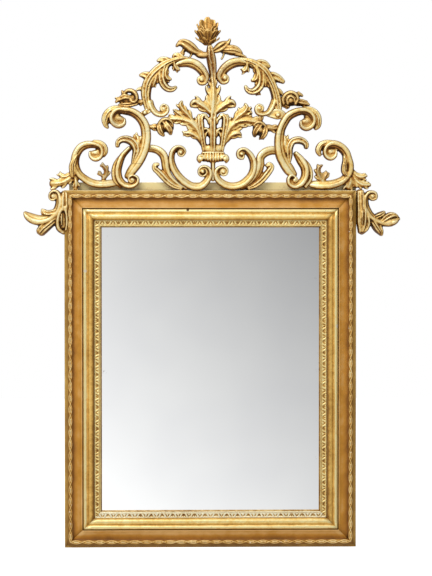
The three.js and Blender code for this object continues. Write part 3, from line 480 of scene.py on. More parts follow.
def leaf_lobes(stations):
    """The side lobes of an acanthus leaf: each leaves the spine and hooks out past the edge."""
    line = drawn_through(stations)
    lobes = []
    since = 0.0
    for done, (before, here, after) in enumerate(zip(line, line[1:], line[2:]), 1):
        since += math.dist(before[:2], here[:2])
        half = here[2] / 2
        if half < LEAST_LOBE or since < half * LOBE_GAP or done < len(line) * BARE_STALK:
            continue
        since = 0.0
        run = (after - before)[:2] / max(math.dist(after[:2], before[:2]), 1e-6)
        for way in (-1, 1):
            side = np.array((-run[1], run[0])) * way
            lobes.append([(*(here[:2] + side * half * out + run * half * on), half * wide, here[3] * high)
                          for out, on, wide, high in LOBE_LINE])
    return lobes


def carve_strip(bm, section, stations):
    """Cuts one strip of a carving, laid flat: out, up, width and height of each station."""
    line = [Vector(station) for station in drawn_through(stations)]
    runs = [(after - before).to_2d().normalized() for before, after in
            zip([line[0], *line[:-1]], [*line[1:], line[-1]])]
    turning = sum(before.x * after.y - before.y * after.x for before, after in zip(runs, runs[1:]))
    inside = 1 if turning >= 0 else -1

    def cut(station, run, ahead=0.0, share=1.0):
        half = max(station[2], THINNEST) / 2
        width = half * share
        return Matrix((
            (-run.y * inside * width, 0, run.x, station.x + run.x * (ahead * half)),
            (run.x * inside * width, 0, run.y, station.y + run.y * (ahead * half)),
            (0, station[3] * (0.4 + 0.6 * share), 0, 0),
            (0, 0, 0, 1)))

    cuts = [cut(line[0], runs[0], -ahead, share) for ahead, share in ROUNDED_END]
    cuts += [cut(station, run) for station, run in zip(line, runs)]
    cuts += [cut(line[-1], runs[-1], ahead, share) for ahead, share in reversed(ROUNDED_END)]
    swept(bm, section, cuts)


def carve_boss(bm, out, up, radius, height):
    """A round knob on a short post."""
    middle = height - radius * BOSS_FLATNESS
    bmesh.ops.create_cone(bm, cap_ends=True, segments=24, radius1=radius * 0.86, radius2=radius * 0.94,
                          depth=middle, matrix=Matrix.Translation((out, up, middle / 2)))
    bmesh.ops.create_uvsphere(bm, u_segments=24, v_segments=14, radius=1, matrix=(
        Matrix.Translation((out, up, middle)) @ Matrix.Diagonal((radius, radius, radius * BOSS_FLATNESS, 1))))


def points_of(mesh):
    """A mesh's points, and the pairs of them that are joined."""
    places = np.empty(len(mesh.vertices) * 3)
    mesh.vertices.foreach_get("co", places)
    pairs = np.empty(len(mesh.edges) * 2, int)
    mesh.edges.foreach_get("vertices", pairs)
    return places.reshape(-1, 3), pairs.reshape(-1, 2)


def neighbours_mean(places, pairs):
    """Each point moved to the middle of the points it is joined to."""
    first, second = pairs[:, 0], pairs[:, 1]
    count = len(places)
    joins = np.bincount(first, minlength=count) + np.bincount(second, minlength=count)
    return np.stack([
        (np.bincount(first, places[second, axis], count) + np.bincount(second, places[first, axis], count))
        / np.maximum(joins, 1) for axis in range(3)], axis=1)


def mark_hollows(mesh):
    """Writes how deep in a hollow each point lies: 0 on a sharp ridge, 0.5 on the flat, 1 in a groove. The
    finishes paint highlight on the ridges and shade in the grooves from it.
    """
    places, pairs = points_of(mesh)
    normals = np.empty(places.size)
    mesh.vertex_normals.foreach_get("vector", normals)
    normals = normals.reshape(-1, 3)
    hollow = np.zeros(len(places))
    worn = places
    for turn in range(HOLLOW_ROUNDS):
        worn = neighbours_mean(worn, pairs)
        if turn == HOLLOW_ROUNDS // 4:
            hollow += ((worn - places) * normals).sum(1) / (FULL_HOLLOW * 0.5)
    hollow += ((worn - places) * normals).sum(1) / FULL_HOLLOW
    values = np.clip(0.5 + hollow * 0.25, 0, 1)
    values = neighbours_mean(np.stack([values] * 3, 1), pairs)[:, 0]
    mesh.attributes.new("hollow", "FLOAT", "POINT").data.foreach_set("value", values.astype(np.float32))


def gessoed(bm, name, grain=GRAIN, rounds=2):
    """Grows all the cuts of a carving into one skin, as gesso does, and rounds it a little."""
    rough = placed(name, mesh_from(bm, name, smooth=False))
    skin = rough.modifiers.new("skin", "REMESH")
    skin.mode = "VOXEL"
    skin.voxel_size = grain * MM
    graph = bpy.context.evaluated_depsgraph_get()
    mesh = bpy.data.meshes.new_from_object(rough.evaluated_get(graph))
    bpy.data.objects.remove(rough)
    places, pairs = points_of(mesh)
    for _ in range(rounds):
        places = 0.4 * places + 0.6 * neighbours_mean(places, pairs)
    mesh.vertices.foreach_set("co", places.ravel())
    mesh.update()
    mesh.name = name
    mark_hollows(mesh)
    mesh.shade_smooth()
    return mesh


def flat_drawing(middle, side, back):
    """Lays a flat drawing (out, up, forward) on the front of the mirror."""
    return Matrix((
        (side * MM, 0, 0, middle * MM),
        (0, 0, -MM, back * MM),
        (0, MM, 0, FRAME_HEIGHT * MM),
        (0, 0, 0, 1)))


CREST_AXIS = 7
CREST_BACK = 8                  # Y of the face that the crest is laid on
FLANK_BACK = 18                 # and of the one behind the side carvings
DRAWN_ON = {side: flat_drawing(CREST_AXIS, way, CREST_BACK) for side, way in (("left", -1), ("right", 1))}
FLANK_ON = {side: flat_drawing(way * FRAME_WIDTH / 2, way, FLANK_BACK)
            for side, way in (("left", -1), ("right", 1))}
def carving(node, strips, laid, rounds=(), finish=CARVED):
    bm = bmesh.new()
    for section, stations in strips:
        if section is not LEAF:
            carve_strip(bm, section, stations)
            continue
        carve_strip(bm, section, [(out, up, max(width * 0.86, 5.0), height)
                                  for out, up, width, height in stations])
        for lobe in leaf_lobes(stations):
            carve_strip(bm, LOBE, lobe)
    for boss in rounds:
        carve_boss(bm, *boss)
    bmesh.ops.transform(bm, matrix=laid, verts=bm.verts)
    piece(f"carved_{node}", gessoed(bm, f"carved_{node}"), finish, [node])


# ---------------------------------------------------------------- the crest, as drawn

CREST = {
    "tall_scroll_left": [
        (BAND, [(248, 200, 8, 29), (250, 188, 17, 32), (262, 182, 21, 33), (275, 187, 20, 33),
            (282, 200, 18, 33), (278, 213, 18, 33), (267, 222, 18, 34), (248, 222, 22, 35),
            (225, 217, 24, 36), (206, 204, 25, 36), (192, 183, 27, 36), (187, 158, 28, 36),
            (189, 130, 29, 36), (197, 102, 29, 35), (211, 76, 29, 33), (230, 50, 26, 30),
            (239, 36, 20, 26)]),
        (STEM, [(254, 198, 18, 25), (266, 200, 22, 25), (274, 204, 14, 24)]),
        (FLUTED, [(248, 229, 8, 26), (266, 230, 14, 30), (283, 224, 20, 32), (296, 211, 23, 33),
            (301, 195, 21, 32), (298, 180, 14, 29), (293, 174, 8, 26)]),
        (STEM, [(268, 212, 26, 24), (282, 200, 22, 24), (286, 188, 12, 22)]),
    ],
    "loop_scroll_left": [
        (BAND, [(232, 118, 14, 24), (251, 97, 17, 26), (261, 74, 20, 29), (265, 52, 20, 30),
            (260, 29, 20, 31), (245, 15, 18, 33), (228, 13, 17, 34), (214, 21, 15, 34),
            (212, 33, 13, 33), (221, 39, 11, 32)]),
        (STEM, [(253, 103, 8, 18), (273, 74, 11, 22), (279, 49, 11, 24), (274, 25, 11, 24),
            (256, 9, 11, 20)]),
    ],
    "hook_leaf_left": [
        (HUSK, [(227, 67, 7, 24), (220, 91, 15, 30), (215, 112, 22, 34), (222, 131, 25, 36),
            (238, 141, 23, 36), (255, 141, 19, 35), (265, 133, 16, 34), (267, 122, 12, 32)]),
        (LEAF, [(213, 105, 14, 30), (208, 130, 17, 32), (211, 148, 14, 30), (218, 156, 6, 26)]),
    ],
    "end_scroll_left": [
        (BAND, [(343, 108, 8, 26), (340, 95, 15, 29), (328, 88, 18, 31), (316, 94, 17, 31),
            (312, 108, 15, 31), (318, 121, 16, 31), (332, 126, 18, 32), (349, 127, 22, 32),
            (367, 120, 24, 32), (379, 105, 24, 32), (385, 85, 24, 32), (384, 66, 24, 31),
            (374, 46, 21, 30), (354, 29, 22, 29), (332, 19, 22, 28), (304, 17, 22, 26),
            (287, 19, 22, 22), (274, 21, 21, 18)]),
        (STEM, [(336, 105, 14, 22), (326, 104, 19, 24), (319, 110, 12, 22)]),
        (FLUTED, [(334, 137, 8, 25), (316, 132, 15, 29), (304, 121, 18, 31), (301, 107, 16, 30),
            (306, 94, 8, 27)]),
        (FLUTED, [(378, 98, 8, 33), (386, 84, 18, 36), (391, 66, 23, 37), (390, 50, 22, 36),
            (392, 36, 14, 32)]),
        (LEAF, [(307, 31, 14, 22), (297, 45, 14, 24), (298, 59, 13, 26), (307, 69, 10, 26),
            (314, 71, 6, 24)]),
        (LEAF, [(304, 38, 11, 20), (315, 45, 10, 22), (320, 53, 6, 20)]),
        (LEAF, [(385, 49, 14, 24), (399, 34, 20, 28), (419, 22, 22, 30), (435, 19, 24, 30),
            (451, 18, 25, 24)]),
        (LEAF, [(391, 52, 11, 24), (407, 39, 14, 28), (421, 38, 15, 28), (430, 46, 8, 24)]),
        (LEAF, [(386, 49, 11, 24), (384, 32, 14, 28), (382, 15, 15, 30), (384, 1, 8, 24)]),
    ],
    "inner_scroll_left": [
        (BAND, [(86, 97, 8, 24), (79, 108, 10, 26), (87, 118, 12, 28), (101, 119, 14, 29),
            (112, 108, 17, 30), (116, 88, 18, 30), (111, 64, 21, 31), (99, 43, 22, 32), (80, 24, 22, 32),
            (57, 11, 22, 32), (35, 11, 22, 32), (17, 27, 20, 32), (9, 45, 17, 32), (14, 60, 14, 31),
            (27, 65, 12, 30), (37, 58, 11, 29), (38, 46, 9, 28), (29, 40, 8, 26)]),
    ],
    "link_scroll_left": [
        (BAND, [(186, 117, 21, 16), (169, 116, 22, 18), (153, 111, 23, 22), (139, 98, 24, 25),
            (134, 81, 23, 26), (132, 63, 22, 26), (125, 43, 20, 25), (112, 27, 17, 24), (94, 13, 14, 22),
            (74, 4, 10, 20)]),
        (HUSK, [(152, 72, 10, 24), (162, 71, 14, 26), (163, 61, 16, 27), (154, 53, 18, 27),
            (142, 41, 20, 27), (129, 27, 18, 26), (111, 13, 15, 24), (88, 4, 10, 22)]),
    ],
    "vase_leaf_left": [
        (LEAF, [(21, 116, 17, 22), (32, 141, 25, 26), (42, 167, 28, 28), (60, 188, 27, 30),
            (84, 197, 22, 30), (106, 199, 20, 30), (126, 199, 15, 28)]),
        (LEAF, [(55, 189, 14, 28), (70, 210, 20, 32), (85, 225, 18, 34), (92, 239, 13, 34),
            (86, 249, 7, 30)]),
        (LEAF, [(83, 203, 11, 28), (98, 215, 11, 30), (111, 225, 6, 28)]),
        (LEAF, [(35, 136, 14, 22), (46, 150, 17, 26), (63, 159, 18, 28), (74, 160, 14, 28),
            (83, 158, 6, 26)]),
    ],
    "pendant_flower_left": [
        (LEAF, [(182, 178, 14, 22), (164, 176, 15, 24), (153, 178, 13, 26), (141, 178, 11, 28)]),
        (LEAF, [(130, 189, 14, 26), (129, 199, 14, 28)]),
    ],
    "arch_left": [
        (FLUTED, [(179, 225, 22, 26), (185, 248, 25, 28), (187, 272, 29, 30), (182, 297, 29, 32),
            (170, 318, 28, 33), (151, 337, 28, 34), (130, 352, 24, 34), (108, 362, 18, 33),
            (88, 367, 14, 30), (69, 369, 8, 26)]),
        (BAND, [(175, 248, 17, 26), (170, 230, 18, 28), (158, 215, 17, 30), (141, 211, 15, 31),
            (129, 220, 14, 31), (129, 232, 12, 30), (139, 237, 10, 29), (145, 231, 8, 28)]),
        (HUSK, [(136, 349, 16, 32), (142, 332, 21, 33), (143, 311, 22, 34), (137, 294, 22, 35),
            (125, 283, 19, 35), (112, 282, 15, 34), (103, 288, 10, 31)]),
        (LEAF, [(122, 353, 11, 30), (131, 335, 15, 32), (132, 319, 14, 33), (126, 309, 11, 33),
            (116, 309, 6, 30)]),
        (LEAF, [(108, 360, 11, 30), (108, 349, 14, 31), (101, 337, 10, 31), (93, 335, 6, 29)]),
        (LEAF, [(150, 337, 11, 30), (157, 318, 14, 31), (163, 301, 14, 31), (168, 288, 6, 28)]),
        (HUSK, [(112, 356, 16, 26), (129, 361, 21, 26), (144, 364, 17, 24), (155, 361, 8, 20)]),
        (HUSK, [(162, 310, 18, 26), (178, 317, 26, 26), (193, 321, 20, 24), (204, 321, 9, 18)]),
        (HUSK, [(188, 278, 12, 26), (199, 283, 13, 24), (208, 282, 9, 20), (215, 277, 5, 18)]),
        (HUSK, [(82, 368, 12, 26), (95, 377, 14, 24), (106, 378, 10, 22), (113, 373, 5, 18)]),
    ],
    "arch_scroll_left": [
        (BAND, [(112, 340, 9, 24), (100, 349, 16, 26), (85, 354, 22, 27), (66, 356, 27, 29),
            (45, 348, 28, 30), (29, 332, 26, 31), (20, 314, 21, 31), (24, 300, 14, 30),
            (36, 299, 12, 29), (41, 307, 10, 28)]),
    ],
    "strut_left": [
        (PLATE, [(203, 208, 15, 22), (177, 224, 15, 24)]),
    ],
    "rosette_spray_left": [
        (LEAF, [(186, 253, 11, 22), (203, 245, 14, 24), (217, 247, 14, 26)]),
        (LEAF, [(237, 246, 14, 24), (252, 252, 14, 26), (265, 254, 11, 27), (271, 244, 6, 24)]),
        (LEAF, [(242, 256, 8, 22), (248, 266, 10, 24), (249, 275, 5, 22)]),
    ],
    "tall_scroll_right": [
        (BAND, [(247, 194, 8, 29), (249, 181, 17, 32), (261, 175, 21, 33), (274, 181, 20, 33),
            (280, 194, 18, 33), (276, 208, 19, 34), (264, 218, 21, 34), (248, 221, 22, 35),
            (228, 216, 24, 36), (211, 206, 25, 36), (199, 189, 25, 36), (190, 169, 25, 36),
            (186, 147, 28, 36), (186, 122, 29, 36), (190, 99, 31, 36), (200, 77, 31, 34),
            (214, 56, 31, 32), (227, 41, 22, 28)]),
        (STEM, [(253, 191, 18, 25), (265, 193, 22, 25), (273, 198, 14, 24)]),
        (FLUTED, [(250, 229, 8, 26), (264, 228, 14, 30), (279, 221, 20, 32), (290, 208, 23, 33),
            (294, 193, 21, 32), (292, 178, 17, 29), (286, 171, 9, 26)]),
        (STEM, [(264, 210, 26, 24), (276, 198, 22, 24), (280, 184, 12, 22)]),
    ],
    "loop_scroll_right": [
        (BAND, [(230, 104, 14, 24), (245, 84, 24, 27), (257, 62, 24, 30), (257, 39, 22, 31),
            (246, 20, 21, 32), (230, 12, 18, 33), (216, 18, 18, 34), (213, 32, 15, 33),
            (221, 40, 13, 32), (229, 35, 10, 31)]),
        (STEM, [(248, 92, 8, 18), (267, 71, 11, 22), (275, 50, 11, 24), (273, 29, 11, 24),
            (258, 9, 13, 20)]),
    ],
    "hook_leaf_right": [
        (HUSK, [(213, 74, 8, 26), (214, 97, 18, 31), (214, 119, 21, 35), (223, 136, 20, 35),
            (239, 140, 22, 35), (254, 135, 19, 34), (261, 126, 16, 33), (260, 118, 12, 31)]),
        (LEAF, [(204, 105, 17, 30), (201, 130, 22, 32), (201, 143, 17, 30), (199, 153, 8, 27)]),
    ],
    "end_scroll_right": [
        (BAND, [(343, 113, 8, 26), (341, 99, 15, 29), (330, 91, 18, 31), (318, 97, 17, 31),
            (315, 110, 16, 31), (321, 122, 18, 31), (335, 128, 24, 32), (354, 122, 25, 32),
            (370, 107, 25, 32), (377, 88, 25, 32), (381, 69, 27, 31), (379, 49, 25, 30),
            (368, 32, 22, 29), (349, 21, 24, 28), (323, 15, 25, 27), (295, 15, 25, 24),
            (272, 18, 18, 18)]),
        (STEM, [(338, 109, 14, 22), (328, 107, 19, 24), (321, 112, 12, 22)]),
        (FLUTED, [(332, 137, 8, 25), (314, 133, 16, 29), (300, 124, 19, 31), (295, 110, 18, 30),
            (300, 97, 9, 27)]),
        (FLUTED, [(366, 96, 8, 33), (370, 82, 16, 36), (368, 66, 18, 37), (368, 52, 18, 36),
            (376, 40, 12, 32)]),
        (LEAF, [(309, 21, 17, 22), (297, 39, 17, 24), (293, 55, 13, 26), (298, 67, 10, 26),
            (307, 70, 6, 24)]),
        (LEAF, [(305, 22, 17, 20), (315, 41, 14, 22), (321, 50, 7, 20)]),
        (LEAF, [(391, 52, 17, 24), (407, 38, 18, 28), (419, 37, 15, 28), (431, 41, 8, 24)]),
        (LEAF, [(388, 49, 17, 24), (403, 24, 18, 28), (420, 15, 17, 30), (440, 15, 13, 25)]),
        (LEAF, [(384, 49, 17, 24), (385, 24, 21, 28), (379, 6, 20, 26)]),
        (LEAF, [(393, 38, 17, 24), (403, 10, 15, 26)]),
    ],
    "inner_scroll_right": [
        (BAND, [(85, 100, 8, 24), (83, 90, 11, 26), (73, 94, 14, 28), (73, 107, 15, 29),
            (86, 113, 15, 29), (101, 102, 18, 30), (111, 84, 20, 31), (113, 63, 20, 32),
            (107, 43, 21, 32), (94, 27, 22, 32), (76, 15, 22, 32), (53, 11, 22, 32), (31, 17, 21, 32),
            (14, 31, 20, 32), (9, 48, 17, 31), (15, 60, 13, 30), (28, 64, 12, 29), (38, 57, 11, 28),
            (36, 45, 9, 27), (27, 43, 8, 26)]),
    ],
    "link_scroll_right": [
        (BAND, [(181, 111, 24, 16), (161, 111, 25, 18), (144, 104, 25, 22), (133, 91, 24, 25),
            (132, 71, 24, 26), (127, 52, 24, 26), (116, 32, 22, 25), (101, 17, 18, 23),
            (80, 5, 10, 20)]),
        (HUSK, [(150, 67, 10, 24), (157, 73, 14, 26), (164, 66, 16, 27), (158, 55, 19, 27),
            (148, 42, 20, 27), (136, 28, 19, 26), (118, 14, 16, 24), (98, 5, 10, 22)]),
    ],
    "vase_leaf_right": [
        (LEAF, [(22, 116, 17, 22), (32, 141, 25, 26), (42, 167, 28, 28), (57, 185, 27, 30),
            (78, 194, 22, 30), (102, 194, 25, 30), (125, 190, 24, 28)]),
        (LEAF, [(53, 186, 14, 28), (71, 206, 22, 32), (88, 219, 20, 34), (95, 232, 13, 34),
            (89, 242, 7, 30)]),
        (LEAF, [(69, 211, 14, 28), (74, 222, 11, 30), (78, 228, 6, 28)]),
        (LEAF, [(92, 218, 14, 28), (102, 223, 10, 30), (109, 214, 6, 28)]),
        (LEAF, [(38, 137, 14, 22), (48, 151, 21, 26), (60, 158, 22, 28), (72, 159, 17, 28),
            (79, 154, 7, 26)]),
        (LEAF, [(66, 185, 14, 24), (80, 178, 11, 25), (95, 178, 7, 24)]),
    ],
    "pendant_flower_right": [
        (LEAF, [(144, 174, 22, 28), (158, 174, 24, 27), (171, 172, 15, 24), (183, 172, 13, 20)]),
        (LEAF, [(132, 181, 17, 28), (131, 206, 15, 26)]),
        (LEAF, [(136, 158, 20, 30), (136, 144, 6, 24)]),
    ],
    "arch_right": [
        (FLUTED, [(181, 227, 25, 26), (178, 251, 27, 28), (173, 273, 25, 30), (165, 295, 25, 32),
            (155, 315, 25, 33), (143, 332, 27, 34), (126, 346, 25, 34), (106, 357, 21, 33),
            (88, 363, 15, 30), (70, 367, 10, 26)]),
        (BAND, [(171, 251, 17, 26), (163, 231, 17, 28), (153, 217, 15, 30), (139, 213, 14, 31),
            (125, 217, 14, 31), (122, 229, 13, 30), (128, 237, 11, 29), (137, 233, 11, 28)]),
        (HUSK, [(122, 349, 19, 32), (132, 329, 22, 33), (134, 309, 23, 34), (130, 290, 25, 35),
            (116, 277, 21, 35), (103, 276, 17, 34), (94, 283, 13, 32), (91, 291, 9, 31)]),
        (LEAF, [(106, 356, 14, 30), (119, 340, 15, 32), (124, 323, 17, 33), (119, 308, 14, 33),
            (108, 305, 8, 30)]),
        (LEAF, [(95, 358, 15, 30), (95, 346, 15, 31), (90, 334, 15, 31), (82, 332, 8, 29)]),
        (LEAF, [(140, 332, 14, 30), (144, 315, 21, 31), (147, 300, 17, 31), (147, 289, 8, 28)]),
        (LEAF, [(125, 281, 14, 30), (127, 267, 8, 28)]),
        (HUSK, [(116, 350, 16, 26), (131, 355, 22, 26), (146, 352, 20, 24), (158, 344, 10, 20)]),
        (HUSK, [(148, 320, 18, 26), (167, 318, 26, 26), (184, 311, 22, 24), (198, 302, 12, 20)]),
        (HUSK, [(176, 282, 14, 24), (188, 275, 13, 22), (196, 265, 7, 18)]),
    ],
    "arch_scroll_right": [
        (BAND, [(112, 342, 9, 24), (100, 351, 16, 26), (85, 356, 22, 27), (66, 357, 27, 29),
            (46, 350, 28, 30), (29, 335, 27, 31), (20, 316, 23, 31), (27, 302, 15, 30),
            (39, 304, 12, 29), (41, 313, 10, 28)]),
    ],
    "strut_right": [
        (PLATE, [(150, 212, 11, 20), (167, 213, 25, 23), (182, 213, 31, 24), (199, 209, 20, 22)]),
    ],
    "rosette_spray_right": [
        (LEAF, [(175, 258, 11, 22), (192, 253, 17, 24), (209, 249, 20, 26)]),
        (LEAF, [(186, 245, 8, 20), (200, 238, 11, 22), (213, 231, 8, 22)]),
        (LEAF, [(234, 242, 17, 24), (248, 242, 17, 26), (263, 240, 11, 24)]),
        (LEAF, [(228, 265, 14, 22), (237, 268, 10, 24), (241, 271, 6, 22)]),
    ],
}

# The eyes of the scrolls: out, up. A scroll's end coils in round its eye.
EYES = {
    "loop_scroll_left": [(0, 226, 29)],
    "loop_scroll_right": [(0, 228, 28)],
    "inner_scroll_left": [(0, 90, 105), (0, 29, 52)],
    "inner_scroll_right": [(0, 80, 101), (0, 29, 51)],
    "arch_left": [(1, 138, 227)],
    "arch_right": [(1, 130, 228)],
    "arch_scroll_left": [(0, 32, 308)],
    "arch_scroll_right": [(0, 33, 313)],
}
# Round knobs: out, up, radius, height.
KNOBS = {
    "loop_scroll_left": [(226, 29, 5, 35)],
    "loop_scroll_right": [(228, 28, 5, 35)],
    "inner_scroll_left": [(29, 52, 5, 31), (90, 105, 5, 29)],
    "inner_scroll_right": [(29, 51, 5, 31), (80, 101, 5, 29)],
    "arch_left": [(138, 227, 5, 32)],
    "arch_right": [(130, 228, 5, 32)],
    "arch_scroll_left": [(32, 308, 7, 33)],
    "arch_scroll_right": [(33, 313, 7, 33)],
    "pendant_flower_left": [(131, 178, 9, 36)],
    "pendant_flower_right": [(131, 168, 9, 36)],
    "strut_left": [(190, 216, 6, 30)],
    "strut_right": [(181, 210, 6.5, 30)],
    "rosette_spray_left": [(229, 251, 7, 31)],
    "rosette_spray_right": [(217, 251, 9, 33)],
}

# Rolled petals of the sprays and of the hanging flowers.
ROLLED = {
    "rosette_spray_left": [
        (STEM, [(216, 256, 26, 26), (242, 254, 24, 26)]),
        (HUSK, [(272, 246, 6, 22), (260, 254, 14, 28), (246, 260, 18, 32), (232, 258, 14, 31)]),
        (STEM, [(250, 268, 8, 28), (240, 277, 12, 33), (227, 277, 14, 36), (216, 268, 14, 37),
            (213, 253, 12, 35), (220, 245, 10, 33), (229, 248, 8, 32)]),
        (HUSK, [(264, 238, 6, 22), (248, 238, 14, 28), (231, 239, 15, 30), (212, 243, 13, 28)]),
        (STEM, [(252, 268, 8, 24), (254, 278, 6, 22)]),
    ],
    "rosette_spray_right": [
        (STEM, [(206, 250, 32, 26), (230, 251, 30, 26)]),
        (STEM, [(198, 240, 10, 28), (195, 254, 12, 32), (203, 267, 13, 35), (218, 273, 13, 37),
            (232, 266, 13, 37), (236, 252, 12, 35), (229, 240, 11, 33)]),
        (STEM, [(209, 240, 11, 31), (206, 253, 11, 35), (215, 262, 11, 37), (226, 256, 10, 37),
            (226, 246, 9, 35)]),
        (HUSK, [(236, 248, 14, 30), (248, 246, 18, 31), (260, 243, 14, 27), (270, 238, 6, 22)]),
        (HUSK, [(232, 264, 12, 28), (242, 268, 13, 28), (251, 263, 6, 22)]),
    ],
    "pendant_flower_left": [
        (STEM, [(118, 178, 32, 26), (140, 178, 32, 26)]),
        (HUSK, [(150, 188, 10, 28), (150, 174, 17, 34), (145, 161, 17, 34), (137, 152, 8, 28)]),
        (HUSK, [(138, 192, 14, 32), (128, 178, 20, 38), (120, 165, 18, 36), (118, 156, 9, 28)]),
        (STEM, [(152, 184, 10, 30), (141, 196, 12, 34), (126, 198, 11, 34), (114, 188, 9, 30),
            (112, 177, 6, 26)]),
    ],
    "pendant_flower_right": [
        (STEM, [(120, 169, 32, 26), (142, 169, 32, 26)]),
        (HUSK, [(146, 180, 10, 28), (146, 166, 17, 34), (141, 153, 17, 34), (134, 144, 8, 28)]),
        (HUSK, [(134, 184, 14, 32), (124, 171, 20, 38), (117, 159, 17, 36), (117, 150, 9, 28)]),
        (STEM, [(148, 176, 10, 30), (137, 187, 12, 34), (123, 189, 11, 34), (113, 180, 8, 30)]),
    ],
}
PLUME = [
    (HUSK, [(0, 200, 22, 33), (0, 226, 22, 33), (0, 250, 22, 33), (0, 276, 20, 32), (0, 300, 18, 29),
        (0, 322, 20, 27), (2, 345, 25, 27), (5, 368, 27, 29), (8, 388, 22, 28), (9, 402, 15, 25)]),
    (LEAF, [(0, 214, 20, 33), (0, 238, 30, 36), (0, 262, 34, 37), (0, 284, 25, 35), (1, 302, 14, 32),
        (1, 318, 6, 27)]),
    (STEM, [(4, 352, 9, 30), (11, 372, 8, 31), (9, 392, 7, 28)]),
]
PLUME_LEAVES = [
    (LEAF, [(4, 213, 16, 30), (20, 229, 24, 35), (36, 240, 26, 37), (50, 246, 20, 36)]),
    (STEM, [(40, 246, 18, 34), (54, 247, 15, 36), (61, 239, 10, 33), (60, 232, 6, 28)]),
]
TOP_LEAVES = {
    "left": [
        (STEM, [(9, 380, 14, 22), (24, 377, 20, 26), (40, 378, 17, 25), (50, 383, 10, 22)]),
        (HUSK, [(30, 384, 10, 22), (44, 386, 20, 27), (58, 394, 30, 30), (72, 404, 31, 31),
            (84, 411, 24, 30), (94, 412, 15, 28)]),
        (STEM, [(84, 408, 16, 28), (96, 408, 13, 29), (102, 401, 7, 26)]),
        (LEAF, [(76, 402, 9, 22), (84, 386, 10, 22), (86, 370, 8, 20)]),
        (STEM, [(62, 396, 8, 22), (60, 380, 7, 22), (66, 368, 6, 20)]),
    ],
    "right": [
        (HUSK, [(2, 387, 11, 22), (-10, 393, 22, 28), (-22, 401, 27, 31), (-33, 408, 21, 29),
            (-41, 413, 10, 25)]),
        (STEM, [(-37, 404, 9, 26), (-44, 412, 10, 28), (-47, 421, 8, 27)]),
        (FLUTED, [(-24, 388, 12, 24), (-38, 391, 24, 29), (-53, 391, 30, 31), (-67, 388, 25, 29),
            (-80, 382, 10, 24)]),
        (STEM, [(-62, 380, 12, 24), (-78, 377, 11, 24), (-93, 371, 6, 20)]),
        (STEM, [(-28, 392, 7, 20), (-30, 378, 6, 20), (-24, 366, 6, 20)]),
    ],
}
FLANKS = {
    "left": [
        (BAND, [(40, -22, 9, 38), (38, -10, 12, 40), (28, -4, 14, 42), (19, -9, 16, 43),
            (15, -28, 20, 46), (18, -50, 22, 46), (28, -66, 23, 45), (46, -79, 26, 43),
            (70, -84, 29, 41), (92, -78, 28, 39), (105, -69, 20, 37), (111, -62, 10, 32)]),
        (HUSK, [(0, -6, 18, 42), (0, -20, 22, 47), (0, -38, 24, 49), (1, -56, 26, 49)]),
        (STEM, [(4, -56, 26, 40), (6, -80, 30, 38), (5, -104, 32, 36)]),
        (STEM, [(3, -46, 16, 48), (14, -66, 14, 48), (19, -88, 16, 47), (15, -108, 16, 44),
            (1, -120, 11, 38)]),
        (STEM, [(-1, -46, 16, 48), (-6, -68, 11, 47), (-7, -92, 11, 45), (-4, -112, 11, 42)]),
        (STEM, [(6, -66, 5, 44), (8, -82, 7, 45), (7, -98, 5, 43)]),
        (HUSK, [(22, -58, 16, 43), (40, -64, 18, 44), (53, -63, 17, 44), (61, -57, 14, 41),
            (59, -67, 9, 37)]),
        (FLUTED, [(20, -76, 20, 43), (34, -88, 25, 44), (48, -99, 28, 44), (60, -109, 30, 43),
            (68, -118, 27, 38)]),
    ],
    "right": [
        (BAND, [(44, -25, 10, 36), (53, -22, 14, 38), (52, -10, 15, 41), (37, -8, 15, 43),
            (27, -21, 18, 45), (26, -41, 22, 46), (32, -57, 22, 46), (43, -73, 22, 44),
            (60, -83, 24, 42), (80, -88, 28, 40), (96, -85, 34, 40), (110, -81, 26, 37),
            (122, -79, 9, 30)]),
        (STEM, [(12, -3, 22, 38), (14, -30, 26, 42), (18, -60, 32, 43), (21, -85, 36, 42),
            (20, -105, 32, 40), (14, -118, 20, 36)]),
        (STEM, [(5, -2, 8, 42), (5, -30, 8, 45), (6, -60, 9, 47), (6, -90, 9, 46), (10, -118, 7, 40)]),
        (HUSK, [(15, -2, 15, 44), (16, -30, 15, 48), (15, -60, 12, 49), (14, -90, 11, 48),
            (15, -117, 8, 42)]),
        (STEM, [(22, -28, 9, 44), (24, -50, 10, 48), (25, -75, 10, 48), (23, -98, 10, 46),
            (19, -115, 8, 42)]),
        (STEM, [(26, -56, 9, 44), (33, -76, 11, 46), (35, -94, 12, 45), (29, -110, 11, 42),
            (20, -118, 8, 38)]),
        (HUSK, [(52, -75, 13, 42), (64, -70, 16, 44), (74, -65, 14, 43), (80, -60, 8, 38)]),
        (FLUTED, [(38, -76, 18, 42), (51, -91, 25, 43), (62, -107, 26, 42), (69, -118, 19, 39),
            (72, -126, 9, 34)]),
        (HUSK, [(72, -87, 14, 42), (85, -77, 19, 43), (99, -70, 19, 43), (110, -70, 12, 40),
            (118, -76, 7, 34)]),
        (STEM, [(98, -94, 14, 40), (107, -89, 18, 42), (116, -85, 12, 38)]),
    ],
}

